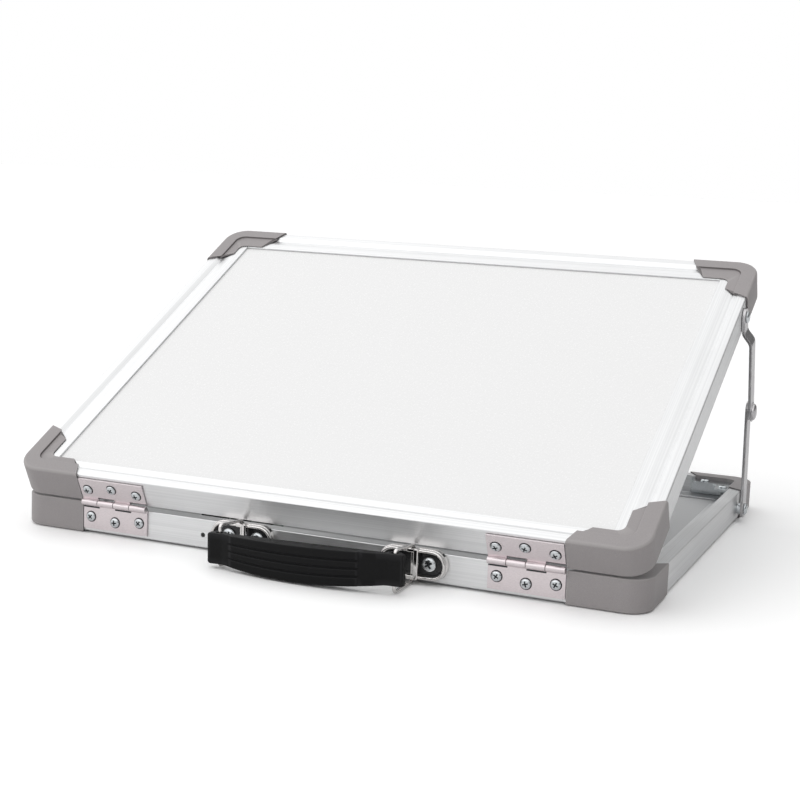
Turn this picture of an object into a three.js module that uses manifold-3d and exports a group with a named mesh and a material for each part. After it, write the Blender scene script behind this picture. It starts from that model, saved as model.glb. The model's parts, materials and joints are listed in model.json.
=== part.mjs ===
// Folding light box: a slim case of two framed leaves joined by hinges along the front edge.
// Millimetres, +Z up, +X to the right, the hinged front edge towards -Y.
import * as THREE from "three";
import { mergeVertices } from "three/addons/utils/BufferGeometryUtils.js";
import Module from "manifold-3d";

const wasm = await Module();
wasm.setup();

// ---- Driving dimensions -------------------------------------------------------------------

const WIDTH = 450; // across the outer faces of the side rails
const DEPTH = 350; // across the outer faces of the front and rear rails
const OPEN_ANGLE = THREE.MathUtils.degToRad(26); // lid lean in the working position
const GAP = 0.3; // clearance between touching pieces
const CUT = 60; // oversize length for cutting tools

// Segments in curves: quarter turns of flat shapes, whole turns of bars, holes and screws
const ARC = 6;
const CAP_ARC = 8;
const BAR_TURN = 14;
const HOLE_TURN = 10;

// Rail section: u runs inwards from the outer face, v from the parting side to the leaf's face
const RAIL_H = 20;
const BOX_W = 10; // hollow outer box
const RAIL_W = 24.2; // box and flange together
const RAIL_WALL = 1.2;
const FLANGE_TOP = RAIL_H - 1;
const FLANGE_BACK = RAIL_H - 6;
const SLOT_TOP = RAIL_H - 2.2;
const SLOT_BACK = RAIL_H - 4.8;
const SLOT_U = 14;
const EDGE = 0.7; // small bevel on the long edges
const RAIL_GROOVE = 1.6; // width of the groove beside the box
const RAIL_GROOVE_DEPTH = 1;
const RAIL_TRIM = 18; // rails stop this far from the outer corner

// Corner cap
const CAP_LEG = 50;
const CAP_PROUD = 1.4; // beyond the rails' outer faces
const CAP_FACE = 1.3; // above the rails' face, so the caps act as feet
const CAP_LIP = 0.9; // past the rails' parting side
const CAP_RADIUS = 17;
const RIDGE_W = 10.9;
const GROOVE_W = 12.9;
const LEDGE_W = 22.8;
const GROOVE_FLOOR = RAIL_H - 0.4;
const END_SLANT = 5; // the ridge's outer side is this much longer than its inner side
const LEDGE_SHORT = 4; // the ledge's outer side stops this far short of the ridge
const LEDGE_SLANT = 10;
const INNER_CHAMFER = { ridge: 2, web: 4, ledge: 7 };

// Heights of the stacked leaves, floor at 0
const TRAY_PARTING_Z = CAP_FACE + RAIL_H;
const CAP_GAP = 0.6;
const LID_PARTING_Z = TRAY_PARTING_Z + 2 * CAP_LIP + CAP_GAP;
const PIN_Z = (TRAY_PARTING_Z + LID_PARTING_Z) / 2;
const PIN_Y = -2.8;

// Butt hinges
const HINGE_X = 149;
const HINGE_LENGTH = 50.8;
const KNUCKLES = 4;
const KNUCKLE_R = 2.4;
const PIN_R = 1.1;
const PIN_BORE_R = 1.35;
const PLATE_T = 1.2;
const PLATE_NEAR = 2.8; // plate edge from the pin axis
const PLATE_FAR = 18.9;
const SCREW_PITCH = 19.3;
const SCREW_NEAR = 10.2; // outer screws from the pin axis
const SCREW_FAR = 12.4; // middle screw from the pin axis

// Screws
const SCREW_R = 1.5;
const SCREW_HOLE_R = 1.9;
const HINGE_HEAD = { radius: 3.4, height: 1.7, shank: 5.2 };
const HANDLE_HEAD = { radius: 4.9, height: 2.4, shank: 5.6 };
const HEAD_SIDE = 0.35; // a pan head's upright side, as a share of its height
const HEAD_FLAT = 0.72; // its flatter top, as a share of its radius
const HEAD_CROWN = 0.85;
const HEAD_CLEARANCE = 0.1;

// Handle
const HANDLE_X = 12.5;
const BRACKET_PITCH = 123;
const BRACKET = { length: 46.8, bottom: 3.2, top: 23.8, floor: 1.5, rim: 2.3, face: 6.2 };
const BRIDGE = { half: 2.3, pad: 4.4, padProud: 0.6, front: 8 };
const BRACKET_SCREW_X = 10.6;
const LOOP_AXIS_Y = -3.9;
const LOOP_WIRE = 2.4;
const LOOP_BORE_R = 2.1; // clears the square wire's corners
const LOOP_REACH = 30;
const LOOP_BOTTOM = 0.3;
const LOOP_TOP_INNER = 26.5;
const LOOP_TOP_OUTER = 29.7;
const STRAP = { height: 20.6, bottom: 4.6, thick: 4.4, bow: 9, overhang: 7, eye: 4, bore: 2.6 };
const STRAP_BELLY = { half: 56, drop: 3.5 }; // the grip is deeper in its middle
const STRAP_TILT = 0.0256; // the strap's left end hangs a little lower
const STRAP_END = 0.6; // thickness at the ends, as a share of the middle's

// Folding stays, one on each side
const STAY_Y = 289.5; // both leaf pivots, leaves closed
const STAY_BASE_Z = 10;
const STAY_LID_Z = 33.7;
const LOWER_ARM = 79;
const UPPER_ARM = 76.5;
const ARM_W = 13;
const ARM_T = 2.2;
const LOWER_LAYER = 3.4; // arm's inner face from the side rail
const UPPER_LAYER = LOWER_LAYER + ARM_T + GAP;
const LID_LAYER = 0.4;
const JOGGLE = { start: 11, end: 21, slip: 1 }; // slip keeps the thickness through the bend
const RIVET_R = 2;
const RIVET_BORE_R = 2.35;
const RIVET = { shank: 2.6, radius: 4.4, crown: 4.1, side: 1.3, height: 2, spacer: 4.2 };
const SPACER_FROM = 2; // gaps wider than this get a spacer
const ELBOW = { radius: 7.4, height: 3, sunk: 0.2 };

// Panels and the light unit
const PANEL_T = 2;
const GUIDE_T = 4;
const BACK_T = 2;
const INLET_X = -80.5;
const INLET_Z = 10.3;
const INLET_R = 1.4;
const INLET = { half: 4, bore: 1.2, depth: 6 };
const LAMP = { lamps: 12, pitch: 35, depth: 5, strip: 3.4, lampHalf: 2, bed: 0.6 };
const DRIVER = {
  x: -76.5, // middle of the board
  y: 42,
  long: 30, // half sizes
  wide: 12,
  bottom: 3,
  thick: 1.6,
  chips: [[-24, -8, -9, 3, 6], [-2, 8, -6, 6, 5], [14, 26, -8, -1, 4], [13, 24, 3, 9, 3]],
  foot: { x: 26, y: 9, radius: 2 },
};

// Angle plates in the tray's rear corners
const BRACE = { leg: 36, wide: 12, t: 1.5, low: 7.7, high: 19.4, slant: 5, notch: 4, screwAt: 24 };
const BRACE_HEAD = { radius: 3.4, height: 1.5, sunk: 0.2 };

// Half way from the foremost point, the handle's strap, to the rearmost, the tray's rear caps
const STRAP_BACK_Y = LOOP_AXIS_Y - LOOP_REACH;
const ORIGIN_Y = (DEPTH + CAP_PROUD + STRAP_BACK_Y - STRAP.bow - STRAP.thick / 2) / 2;

// ---- Solids -------------------------------------------------------------------------------

function placed(geometry, x = 0, y = 0, z = 0, rx = 0, ry = 0, rz = 0) {
  const place = new THREE.Matrix4().makeRotationFromEuler(new THREE.Euler(rx, ry, rz));
  place.setPosition(x, y, z);
  return geometry.applyMatrix4(place);
}

function solid(geometry) {
  const bare = geometry.clone();
  bare.deleteAttribute("normal");
  bare.deleteAttribute("uv");
  const merged = mergeVertices(bare, 1e-4);
  const vertProperties = new Float32Array(merged.attributes.position.array);
  const triVerts = new Uint32Array(merged.index.array);
  return new wasm.Manifold(new wasm.Mesh({ numProp: 3, vertProperties, triVerts }));
}

function toGeometry(body) {
  const mesh = body.getMesh();
  const geometry = new THREE.BufferGeometry();
  geometry.setAttribute("position", new THREE.BufferAttribute(new Float32Array(mesh.vertProperties), 3));
  geometry.setIndex(new THREE.BufferAttribute(new Uint32Array(mesh.triVerts), 1));
  geometry.computeVertexNormals();
  return geometry;
}

function joined(...parts) {
  return parts.reduce((whole, part) => whole.add(part));
}

function cut(body, ...tools) {
  return tools.reduce((left, tool) => left.subtract(tool), body);
}

function block(x0, x1, y0, y1, z0, z1) {
  const box = new THREE.BoxGeometry(x1 - x0, y1 - y0, z1 - z0);
  return solid(placed(box, (x0 + x1) / 2, (y0 + y1) / 2, (z0 + z1) / 2));
}

function outline(points) {
  return new THREE.Shape(points.map(([x, y]) => new THREE.Vector2(x, y)));
}

// A flat shape in x, y raised from z0 to z1
function raised(shape, z0, z1, curveSegments = ARC) {
  const geometry = new THREE.ExtrudeGeometry(shape, { depth: z1 - z0, bevelEnabled: false, curveSegments });
  return solid(placed(geometry, 0, 0, z0));
}

// A flat shape drawn in y, z and given a thickness from x0 to x1
function sideways(shape, x0, x1, curveSegments = ARC) {
  const geometry = new THREE.ExtrudeGeometry(shape, { depth: x1 - x0, bevelEnabled: false, curveSegments });
  const swap = new THREE.Matrix4().set(0, 0, 1, x0, 1, 0, 0, 0, 0, 1, 0, 0, 0, 0, 0, 1);
  return solid(geometry.applyMatrix4(swap));
}

// A flat shape drawn in x, z about the height z and given a thickness from y0 to y1
function upright(shape, y0, y1, z = 0) {
  const depth = y1 - y0;
  const geometry = new THREE.ExtrudeGeometry(shape, { depth, bevelEnabled: false, curveSegments: ARC });
  return solid(placed(geometry, 0, y1, z, Math.PI / 2));
}

// A round bar along x, y or z between two coordinates
function bar(axis, radius, from, to, a, b, segments = BAR_TURN) {
  const geometry = new THREE.CylinderGeometry(radius, radius, to - from, segments);
  const middle = (from + to) / 2;
  if (axis === "x") return solid(placed(geometry, middle, a, b, 0, 0, Math.PI / 2));
  if (axis === "y") return solid(placed(geometry, a, middle, b));
  return solid(placed(geometry, a, b, middle, Math.PI / 2));
}

// A long shape with round ends, centred, in x, y
function stadium(length, width) {
  const r = width / 2;
  const half = length / 2 - r;
  const shape = new THREE.Shape();
  shape.moveTo(-half, -r);
  shape.lineTo(half, -r);
  shape.absarc(half, 0, r, -Math.PI / 2, Math.PI / 2, false);
  shape.lineTo(-half, r);
  shape.absarc(-half, 0, r, Math.PI / 2, Math.PI * 1.5, false);
  return shape;
}

const FINISH = {
  rail: new THREE.MeshStandardMaterial({ color: 0xc9cacc, roughness: 0.35, metalness: 1 }),
  cap: new THREE.MeshStandardMaterial({ color: 0x9d9896, roughness: 0.5, metalness: 0 }),
  opal: new THREE.MeshStandardMaterial({ color: 0xf4f4f3, roughness: 0.25, metalness: 0 }),
  floor: new THREE.MeshStandardMaterial({ color: 0xd4d5d6, roughness: 0.45, metalness: 0 }),
  guide: new THREE.MeshStandardMaterial({ color: 0xe6eef0, roughness: 0.1, metalness: 0 }),
  back: new THREE.MeshStandardMaterial({ color: 0xdadbdd, roughness: 0.5, metalness: 0 }),
  steel: new THREE.MeshStandardMaterial({ color: 0xc7bdbd, roughness: 0.35, metalness: 1 }),
  screw: new THREE.MeshStandardMaterial({ color: 0xb4babd, roughness: 0.25, metalness: 1 }),
  chrome: new THREE.MeshStandardMaterial({ color: 0xd9d5d3, roughness: 0.1, metalness: 1 }),
  strap: new THREE.MeshStandardMaterial({ color: 0x141414, roughness: 0.55, metalness: 0 }),
  board: new THREE.MeshStandardMaterial({ color: 0x1d5a36, roughness: 0.5, metalness: 0 }),
  inlet: new THREE.MeshStandardMaterial({ color: 0x0d0d0d, roughness: 0.5, metalness: 0 }),
};

function piece(name, geometry, finish, x = 0, y = 0, z = 0, rx = 0, ry = 0, rz = 0) {
  const mesh = new THREE.Mesh(geometry, finish.clone());
  mesh.name = name;
  mesh.position.set(x, y, z);
  mesh.rotation.set(rx, ry, rz);
  return mesh;
}

// ---- Rails --------------------------------------------------------------------------------

function railSection() {
  const shape = outline([
    [EDGE, 0],
    [BOX_W, 0],
    [BOX_W, FLANGE_BACK],
    [RAIL_W, FLANGE_BACK],
    [RAIL_W, SLOT_BACK],
    [SLOT_U, SLOT_BACK],
    [SLOT_U, SLOT_TOP],
    [RAIL_W, SLOT_TOP],
    [RAIL_W, FLANGE_TOP],
    [BOX_W + RAIL_GROOVE, FLANGE_TOP],
    [BOX_W + RAIL_GROOVE, FLANGE_TOP - RAIL_GROOVE_DEPTH],
    [BOX_W, FLANGE_TOP - RAIL_GROOVE_DEPTH],
    [BOX_W, RAIL_H - EDGE / 2],
    [BOX_W - EDGE / 2, RAIL_H],
    [EDGE, RAIL_H],
    [0, RAIL_H - EDGE],
    [0, EDGE],
  ]);
  const hollow = outline([
    [RAIL_WALL, RAIL_WALL],
    [RAIL_WALL, RAIL_H - RAIL_WALL],
    [BOX_W - RAIL_WALL, RAIL_H - RAIL_WALL],
    [BOX_W - RAIL_WALL, RAIL_WALL],
  ]);
  shape.holes.push(hollow);
  return shape;
}

// The section's u, v lie along y, z and the rail runs along x, with its ends mitred under the caps
function rail(length) {
  const half = length / 2;
  const reach = half - RAIL_TRIM;
  const mitre = (side) => {
    const edge = (u) => side * (half - u - GAP / 2);
    const far = side * (half + CUT);
    const wedge = outline([[edge(0), 0], [far, 0], [far, CUT], [edge(CUT), CUT]]);
    return raised(wedge, -1, RAIL_H + 1);
  };
  return cut(sideways(railSection(), -reach, reach), mitre(-1), mitre(1));
}

// The space a rail takes up, with clearance, for hollowing the caps that sit on it
function railEnvelope() {
  const g = GAP;
  const shape = outline([
    [-g, -g],
    [BOX_W + g, -g],
    [BOX_W + g, FLANGE_BACK - g],
    [RAIL_W + g, FLANGE_BACK - g],
    [RAIL_W + g, FLANGE_TOP + g],
    [BOX_W + g, FLANGE_TOP + g],
    [BOX_W + g, RAIL_H + g],
    [-g, RAIL_H + g],
  ]);
  return sideways(shape, RAIL_TRIM - g, CAP_LEG + CUT);
}

// Turns a solid drawn about the x leg into the one about the y leg
function acrossDiagonal(body) {
  const geometry = toGeometry(body);
  const swap = new THREE.Matrix4().set(0, 1, 0, 0, 1, 0, 0, 0, 0, 0, 1, 0, 0, 0, 0, 1);
  geometry.applyMatrix4(swap);
  const index = geometry.index;
  for (let i = 0; i < index.count; i += 3) {
    const first = index.getX(i);
    index.setX(i, index.getX(i + 1));
    index.setX(i + 1, first);
  }
  return solid(geometry);
}

// ---- Corner caps --------------------------------------------------------------------------

// A plan with the cap's round outer corner, closed by the points from the x leg to the y leg
function capPlan(points) {
  const p = -CAP_PROUD;
  const centre = CAP_RADIUS + p;
  const shape = new THREE.Shape();
  shape.moveTo(...points[0]);
  points.slice(1).forEach((point) => shape.lineTo(...point));
  shape.lineTo(p, centre);
  shape.absarc(centre, centre, CAP_RADIUS, Math.PI, Math.PI * 1.5, false);
  return shape;
}

// Two legs of one width, cut slantwise at their ends and chamfered in the inner corner
function legs(width, endOuter, endInner, chamfer) {
  const half = [[endOuter, -CAP_PROUD], [endInner, width], [width + chamfer, width]];
  return [...half, ...half.map(([x, y]) => [y, x]).reverse()];
}

function cornerCap() {
  const faceZ = RAIL_H + CAP_FACE;
  const plateZ = FLANGE_TOP + GAP;
  const stop = RAIL_TRIM - GAP;
  const ledgeEnd = CAP_LEG - LEDGE_SHORT;
  const ridgePlan = capPlan(legs(RIDGE_W, CAP_LEG, CAP_LEG - END_SLANT, INNER_CHAMFER.ridge));
  const ledgePlan = capPlan(legs(LEDGE_W, ledgeEnd, ledgeEnd - LEDGE_SLANT, INNER_CHAMFER.ledge));
  const webPlan = capPlan(legs(GROOVE_W, ledgeEnd, CAP_LEG - END_SLANT, INNER_CHAMFER.web));
  const postPlan = capPlan([[stop, -CAP_PROUD], [stop, stop], [-CAP_PROUD, stop]]);
  const ridge = raised(ridgePlan, -CAP_LIP, faceZ, CAP_ARC);
  const ledge = raised(ledgePlan, plateZ, RAIL_H + GAP, CAP_ARC);
  const web = raised(webPlan, plateZ, GROOVE_FLOOR, CAP_ARC);
  const post = raised(postPlan, -CAP_LIP, plateZ, CAP_ARC);
  const corner = block(BOX_W, CUT, BOX_W, CUT, -CUT, SLOT_TOP + GAP);
  const groove = block(RIDGE_W, CAP_LEG + CUT, RIDGE_W, GROOVE_W, GROOVE_FLOOR, faceZ + CUT);
  const inside = joined(railEnvelope(), acrossDiagonal(railEnvelope()), corner);
  return cut(joined(ridge, ledge, web, post), inside, groove, acrossDiagonal(groove));
}

// ---- Butt hinge ---------------------------------------------------------------------------

const KNUCKLE_LENGTH = HINGE_LENGTH / KNUCKLES;

// A plate about the pin axis, below it for side -1 and above it for side 1
function hingePlate(side, firstKnuckle) {
  const backY = -PIN_Y - GAP;
  const frontY = backY - PLATE_T;
  const z = [side * PLATE_NEAR, side * PLATE_FAR].sort((a, b) => a - b);
  let body = block(-HINGE_LENGTH / 2, HINGE_LENGTH / 2, frontY, backY, z[0], z[1]);
  for (let k = firstKnuckle; k < KNUCKLES; k += 2) {
    const x0 = -HINGE_LENGTH / 2 + k * KNUCKLE_LENGTH + (k > 0 ? GAP / 2 : 0);
    const x1 = -HINGE_LENGTH / 2 + (k + 1) * KNUCKLE_LENGTH - (k < KNUCKLES - 1 ? GAP / 2 : 0);
    const web = [0, side * (PLATE_NEAR + PLATE_T)].sort((a, b) => a - b);
    body = joined(body, bar("x", KNUCKLE_R, x0, x1, 0, 0));
    body = joined(body, block(x0, x1, frontY, backY, web[0], web[1]));
  }
  body = cut(body, bar("x", PIN_BORE_R, -CUT, CUT, 0, 0));
  const holes = hingeScrews().map(({ x, reach }) => (
    bar("y", SCREW_HOLE_R, -CUT, CUT, x, side * reach, HOLE_TURN)));
  return cut(body, ...holes);
}

function hingeScrews() {
  return [-1, 0, 1].map((i) => ({ x: i * SCREW_PITCH, reach: i === 0 ? SCREW_FAR : SCREW_NEAR }));
}

// Pan-head screw along y: head towards -y, its underside at y = 0
function screw({ radius, height, shank }) {
  const profile = [
    [0, -shank],
    [SCREW_R, -shank],
    [SCREW_R, 0],
    [radius, 0],
    [radius, height * HEAD_SIDE],
    [radius * HEAD_FLAT, height * HEAD_CROWN],
    [0, height],
  ].map(([r, h]) => new THREE.Vector2(r, h));
  return solid(placed(new THREE.LatheGeometry(profile, HOLE_TURN), 0, 0, 0, Math.PI));
}

// ---- Handle -------------------------------------------------------------------------------

// Oval bracket about its own middle, mounting face at y = 0, front towards -y
function handleBracket() {
  const { length, bottom, top, floor, rim, face } = BRACKET;
  const height = top - bottom;
  const middle = (bottom + top) / 2;
  const plate = upright(stadium(length, height), -face, -GAP, middle);
  const recess = upright(stadium(length - 2 * rim, height - 2 * rim), -face - rim, -floor, middle);
  const bridge = block(-BRIDGE.half, BRIDGE.half, -BRIDGE.front, LOOP_AXIS_Y, bottom, top);
  const padFront = -face - BRIDGE.padProud;
  const pads = [bottom, top - rim].map((z) => block(-BRIDGE.pad, BRIDGE.pad, padFront, -floor, z, z + rim));
  const bore = bar("z", LOOP_BORE_R, bottom - CUT, top + CUT, 0, LOOP_AXIS_Y);
  const holes = [-1, 1].map((s) => (
    bar("y", SCREW_HOLE_R, -CUT, CUT, s * BRACKET_SCREW_X, middle, HOLE_TURN)));
  return cut(joined(cut(plate, recess), bridge, ...pads), bore, ...holes);
}

// Wire loop drawn flat in the y, z plane about its swing axis, reaching towards -y
function wireLoop() {
  const w = LOOP_WIRE / 2;
  const ring = (inset) => outline([
    [w - inset, LOOP_BOTTOM + inset],
    [w - inset, LOOP_TOP_INNER - inset],
    [-LOOP_REACH - w + inset, LOOP_TOP_OUTER - inset],
    [-LOOP_REACH - w + inset, LOOP_BOTTOM + inset],
  ]);
  return cut(sideways(ring(0), -w, w), sideways(ring(LOOP_WIRE), -CUT, CUT));
}

// Strap about the middle of its two eyes, bowed towards -y
function carryStrap() {
  const { height, thick, bow, overhang, eye, bore } = STRAP;
  const half = BRACKET_PITCH / 2;
  const end = half + overhang;
  const endT = (thick / 2) * STRAP_END;
  const peak = (edge) => 2 * (edge - bow) - Math.sign(edge) * endT;
  const shape = new THREE.Shape();
  shape.moveTo(-end, endT);
  shape.lineTo(-end, -endT);
  shape.quadraticCurveTo(0, peak(-thick / 2), end, -endT);
  shape.lineTo(end, endT);
  shape.quadraticCurveTo(0, peak(thick / 2), -end, endT);
  const front = new THREE.Shape();
  front.moveTo(-end - CUT, 0);
  front.lineTo(-STRAP_BELLY.half, 0);
  front.quadraticCurveTo(0, -2 * STRAP_BELLY.drop, STRAP_BELLY.half, 0);
  front.lineTo(end + CUT, 0);
  front.lineTo(end + CUT, height);
  front.lineTo(-end - CUT, height);
  const deep = raised(shape, -STRAP_BELLY.drop - CUT, height + CUT, HOLE_TURN);
  const band = deep.intersect(upright(front, -end, end));
  const eyes = [-half, half].map((x) => bar("z", eye, 0, height, x, 0));
  const bores = [-half, half].map((x) => bar("z", bore, -CUT, height + CUT, x, 0));
  return cut(joined(band, ...eyes), ...bores);
}

// ---- Folding stay -------------------------------------------------------------------------

// Both arms are drawn along +y from their own leaf pivot, inner face at x = 0
function armPlan(length) {
  const shape = stadium(length + ARM_W, ARM_W);
  return sideways(shape, -CUT, CUT).translate([0, length / 2, 0]);
}

function lowerArm() {
  const strip = block(0, ARM_T, -CUT, LOWER_ARM + CUT, -ARM_W, ARM_W);
  const bores = [0, LOWER_ARM].map((y) => bar("x", RIVET_BORE_R, -CUT, CUT, y, 0));
  return cut(strip.intersect(armPlan(LOWER_ARM)), ...bores);
}

// The upper arm steps outwards, past the lower arm, and carries the elbow's rivet
function upperArm() {
  const step = UPPER_LAYER - LID_LAYER;
  const { start, end } = JOGGLE;
  const profile = outline([
    [0, -CUT],
    [0, start],
    [step, end],
    [step, UPPER_ARM + CUT],
    [step + ARM_T, UPPER_ARM + CUT],
    [step + ARM_T, end - JOGGLE.slip],
    [ARM_T, start - JOGGLE.slip],
    [ARM_T, -CUT],
  ]);
  const strip = raised(profile, -ARM_W, ARM_W);
  const lidBore = bar("x", RIVET_BORE_R, -CUT, CUT, 0, 0);
  return joined(cut(strip.intersect(armPlan(UPPER_ARM)), lidBore), elbowHead(step + ARM_T));
}

// Domed head on the outer face of the upper arm, sunk a little so that the two are one solid
function elbowHead(face) {
  const { radius, height, sunk } = ELBOW;
  const dome = [
    [0, -sunk],
    [radius, -sunk],
    [radius * 0.93, height / 2],
    [radius * 0.6, height * 0.9],
    [0, height],
  ];
  return turned(dome, face, UPPER_ARM, 0);
}

// Rivet along x from the rail's face: shank, a spacer where the arm stands off, and the head outside
function leafRivet(armFace) {
  const { shank, radius, crown, side, height, spacer } = RIVET;
  const under = armFace + ARM_T + GAP;
  const head = [[radius, under], [crown, under + side], [0, under + height]];
  const foot = [[0, -shank], [RIVET_R, -shank]];
  const collar = [[RIVET_R, GAP], [spacer, GAP], [spacer, armFace - GAP], [RIVET_R, armFace - GAP]];
  const middle = armFace > SPACER_FROM ? collar : [];
  return turned([...foot, ...middle, [RIVET_R, under], ...head], 0, 0, 0);
}

// A profile of radius and height turned about the x axis
function turned(profile, x, y, z, segments = BAR_TURN) {
  const points = profile.map(([r, h]) => new THREE.Vector2(r, h));
  return solid(placed(new THREE.LatheGeometry(points, segments), x, y, z, 0, 0, -Math.PI / 2));
}

// ---- Panels and the light unit --------------------------------------------------------------

// A sheet that stops the same distance inside the rails' outer faces all round
function panel(inset, z0, z1) {
  return block(-WIDTH / 2 + inset, WIDTH / 2 - inset, inset, DEPTH - inset, z0, z1);
}

// Light guide, lamp strip along its rear edge and the sheet behind both, in the lid's box space
function lightUnit() {
  const guideBack = FLANGE_BACK - GAP - GUIDE_T;
  const guideTop = guideBack + GUIDE_T;
  const backTop = guideBack - GAP;
  const inset = BOX_W + GAP;
  const edge = WIDTH / 2 - inset;
  const rear = DEPTH - inset;
  const { lamps, pitch, depth, strip, lampHalf, bed } = LAMP;
  const lampY = rear - depth;
  const room = block(-WIDTH, WIDTH, lampY - GAP, DEPTH, -CUT, CUT);
  const board = block(-edge, edge, rear - strip, rear, guideBack, guideTop);
  const places = Array.from({ length: lamps }, (_, i) => (i - (lamps - 1) / 2) * pitch);
  const chips = places.map((x) => (
    block(x - lampHalf, x + lampHalf, lampY, rear - strip / 2, guideBack + bed, guideTop - bed)));
  return {
    guide: cut(panel(inset, guideBack, guideTop), room),
    strip: joined(board, ...chips),
    back: panel(inset, backTop - BACK_T, backTop),
  };
}

function driverBoard() {
  const { long, wide, bottom, thick, chips, foot } = DRIVER;
  const top = bottom + thick;
  const board = block(-long, long, -wide, wide, bottom, top);
  const parts = chips.map(([x0, x1, y0, y1, high]) => (
    block(x0, x1, y0, y1, bottom + thick / 2, top + high)));
  const corners = [[-foot.x, -foot.y], [foot.x, -foot.y], [-foot.x, foot.y], [foot.x, foot.y]];
  const feet = corners.map(([x, y]) => bar("z", foot.radius, 0, bottom + thick / 2, x, y, HOLE_TURN));
  return joined(board, ...parts, ...feet);
}

// Angle plate with two screw heads, drawn from the inner corner of the rails
function cornerBrace() {
  const { leg, wide, t, low, high, slant, notch, screwAt } = BRACE;
  const half = [[leg, 0], [leg - slant, wide], [wide + notch, wide]];
  const plate = outline([[0, 0], ...half, ...half.map(([x, y]) => [y, x]).reverse()]);
  const top = raised(plate, high - t, high);
  const wallX = block(0, leg, 0, t, low, high);
  const wallY = block(0, t, 0, leg, low, high);
  const { radius, height, sunk } = BRACE_HEAD;
  const dome = [[0, -sunk], [radius, -sunk], [radius * 0.94, height * 0.6], [0, height]];
  const points = dome.map(([r, h]) => new THREE.Vector2(r, h));
  const heads = [[screwAt, wide / 2], [wide / 2, screwAt]].map(([x, y]) => (
    solid(placed(new THREE.LatheGeometry(points, HOLE_TURN), x, y, high, Math.PI / 2))));
  return joined(top, wallX, wallY, ...heads);
}

// ---- Assembly -----------------------------------------------------------------------------

const tray = new THREE.Group();
const lid = new THREE.Group();
lid.position.set(0, PIN_Y, PIN_Z);
lid.rotation.x = OPEN_ANGLE;
const lidParts = new THREE.Group();
lidParts.position.set(0, -PIN_Y, -PIN_Z);
lid.add(lidParts);

// A hole through a rail's outer wall, x along the rail and v up its section
function wallHole(radius, x, v) {
  return bar("y", radius, -RAIL_WALL, 2 * RAIL_WALL, x, v, HOLE_TURN);
}

// Screw holes of both hinges in a front rail; the tray's rail is turned over, so its x is reversed
function hingeHoles(side) {
  return [-HINGE_X, HINGE_X].flatMap((x) => hingeScrews().map((hole) => {
    const v = hole.reach - (PIN_Z - TRAY_PARTING_Z);
    return wallHole(SCREW_HOLE_R, side * (x + hole.x), v);
  }));
}

// Rivet hole of a folding stay in a side rail
function rivetHole(side, v) {
  return [wallHole(RIVET_BORE_R, side * (STAY_Y - DEPTH / 2), v)];
}

// Four rails and four caps about the middle of the leaf; the tray's leaf lies face down
function addLeaf(group, name, partingZ, faceUp, holes) {
  const flip = faceUp ? 0 : Math.PI;
  const edge = WIDTH / 2;
  const rails = [
    ["front", WIDTH, 0, 0, 0, holes.front],
    ["rear", WIDTH, 0, DEPTH, 2, []],
    ["left", DEPTH, -edge, DEPTH / 2, -1, holes.left],
    ["right", DEPTH, edge, DEPTH / 2, 1, holes.right],
  ];
  for (const [place, length, x, y, turn, tools] of rails) {
    const shape = toGeometry(cut(rail(length), ...tools));
    const mesh = piece(`${name}_rail_${place}`, shape, FINISH.rail, x, y, partingZ);
    turnOver(mesh, flip, turn);
    group.add(mesh);
  }
  const cap = toGeometry(cornerCap());
  const corners = [
    ["front_left", -1, 0, 0],
    ["front_right", 1, 0, 1],
    ["rear_right", 1, 1, 2],
    ["rear_left", -1, 1, 3],
  ];
  for (const [corner, side, rear, turn] of corners) {
    const mesh = piece(`${name}_cap_${corner}`, cap, FINISH.cap, side * edge, rear * DEPTH, partingZ);
    turnOver(mesh, flip, faceUp ? turn : turn - 1);
    group.add(mesh);
  }
}

// Turns a leaf piece over about y, then by quarter turns about z
function turnOver(mesh, flip, quarters) {
  const about = new THREE.Quaternion();
  mesh.quaternion.setFromAxisAngle(new THREE.Vector3(0, 1, 0), flip);
  about.setFromAxisAngle(new THREE.Vector3(0, 0, 1), (quarters * Math.PI) / 2);
  mesh.quaternion.premultiply(about);
}

const bracketZ = (BRACKET.bottom + BRACKET.top) / 2;
const inletHole = wallHole(INLET_R, -INLET_X, TRAY_PARTING_Z - INLET_Z);
const bracketHoles = [-1, 1].flatMap((b) => [-1, 1].map((s) => {
  const x = HANDLE_X + (b * BRACKET_PITCH) / 2 + s * BRACKET_SCREW_X;
  return wallHole(SCREW_HOLE_R, -x, TRAY_PARTING_Z - bracketZ);
}));
addLeaf(tray, "tray", TRAY_PARTING_Z, false, {
  front: [...hingeHoles(-1), ...bracketHoles, inletHole],
  left: rivetHole(1, TRAY_PARTING_Z - STAY_BASE_Z),
  right: rivetHole(-1, TRAY_PARTING_Z - STAY_BASE_Z),
});
addLeaf(lidParts, "lid", LID_PARTING_Z, true, {
  front: hingeHoles(1),
  left: rivetHole(-1, STAY_LID_Z - LID_PARTING_Z),
  right: rivetHole(1, STAY_LID_Z - LID_PARTING_Z),
});

const slotMiddle = (SLOT_TOP + SLOT_BACK) / 2;
const face = panel(SLOT_U + GAP, slotMiddle - PANEL_T / 2, slotMiddle + PANEL_T / 2);
tray.add(piece("tray_floor_panel", toGeometry(face), FINISH.floor, 0, 0, TRAY_PARTING_Z - 2 * slotMiddle));
lidParts.add(piece("drawing_panel", toGeometry(face), FINISH.opal, 0, 0, LID_PARTING_Z));

const { guide, strip, back } = lightUnit();
lidParts.add(piece("light_guide", toGeometry(guide), FINISH.guide, 0, 0, LID_PARTING_Z));
lidParts.add(piece("led_strip", toGeometry(strip), FINISH.board, 0, 0, LID_PARTING_Z));
lidParts.add(piece("lid_back_panel", toGeometry(back), FINISH.back, 0, 0, LID_PARTING_Z));

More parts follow.
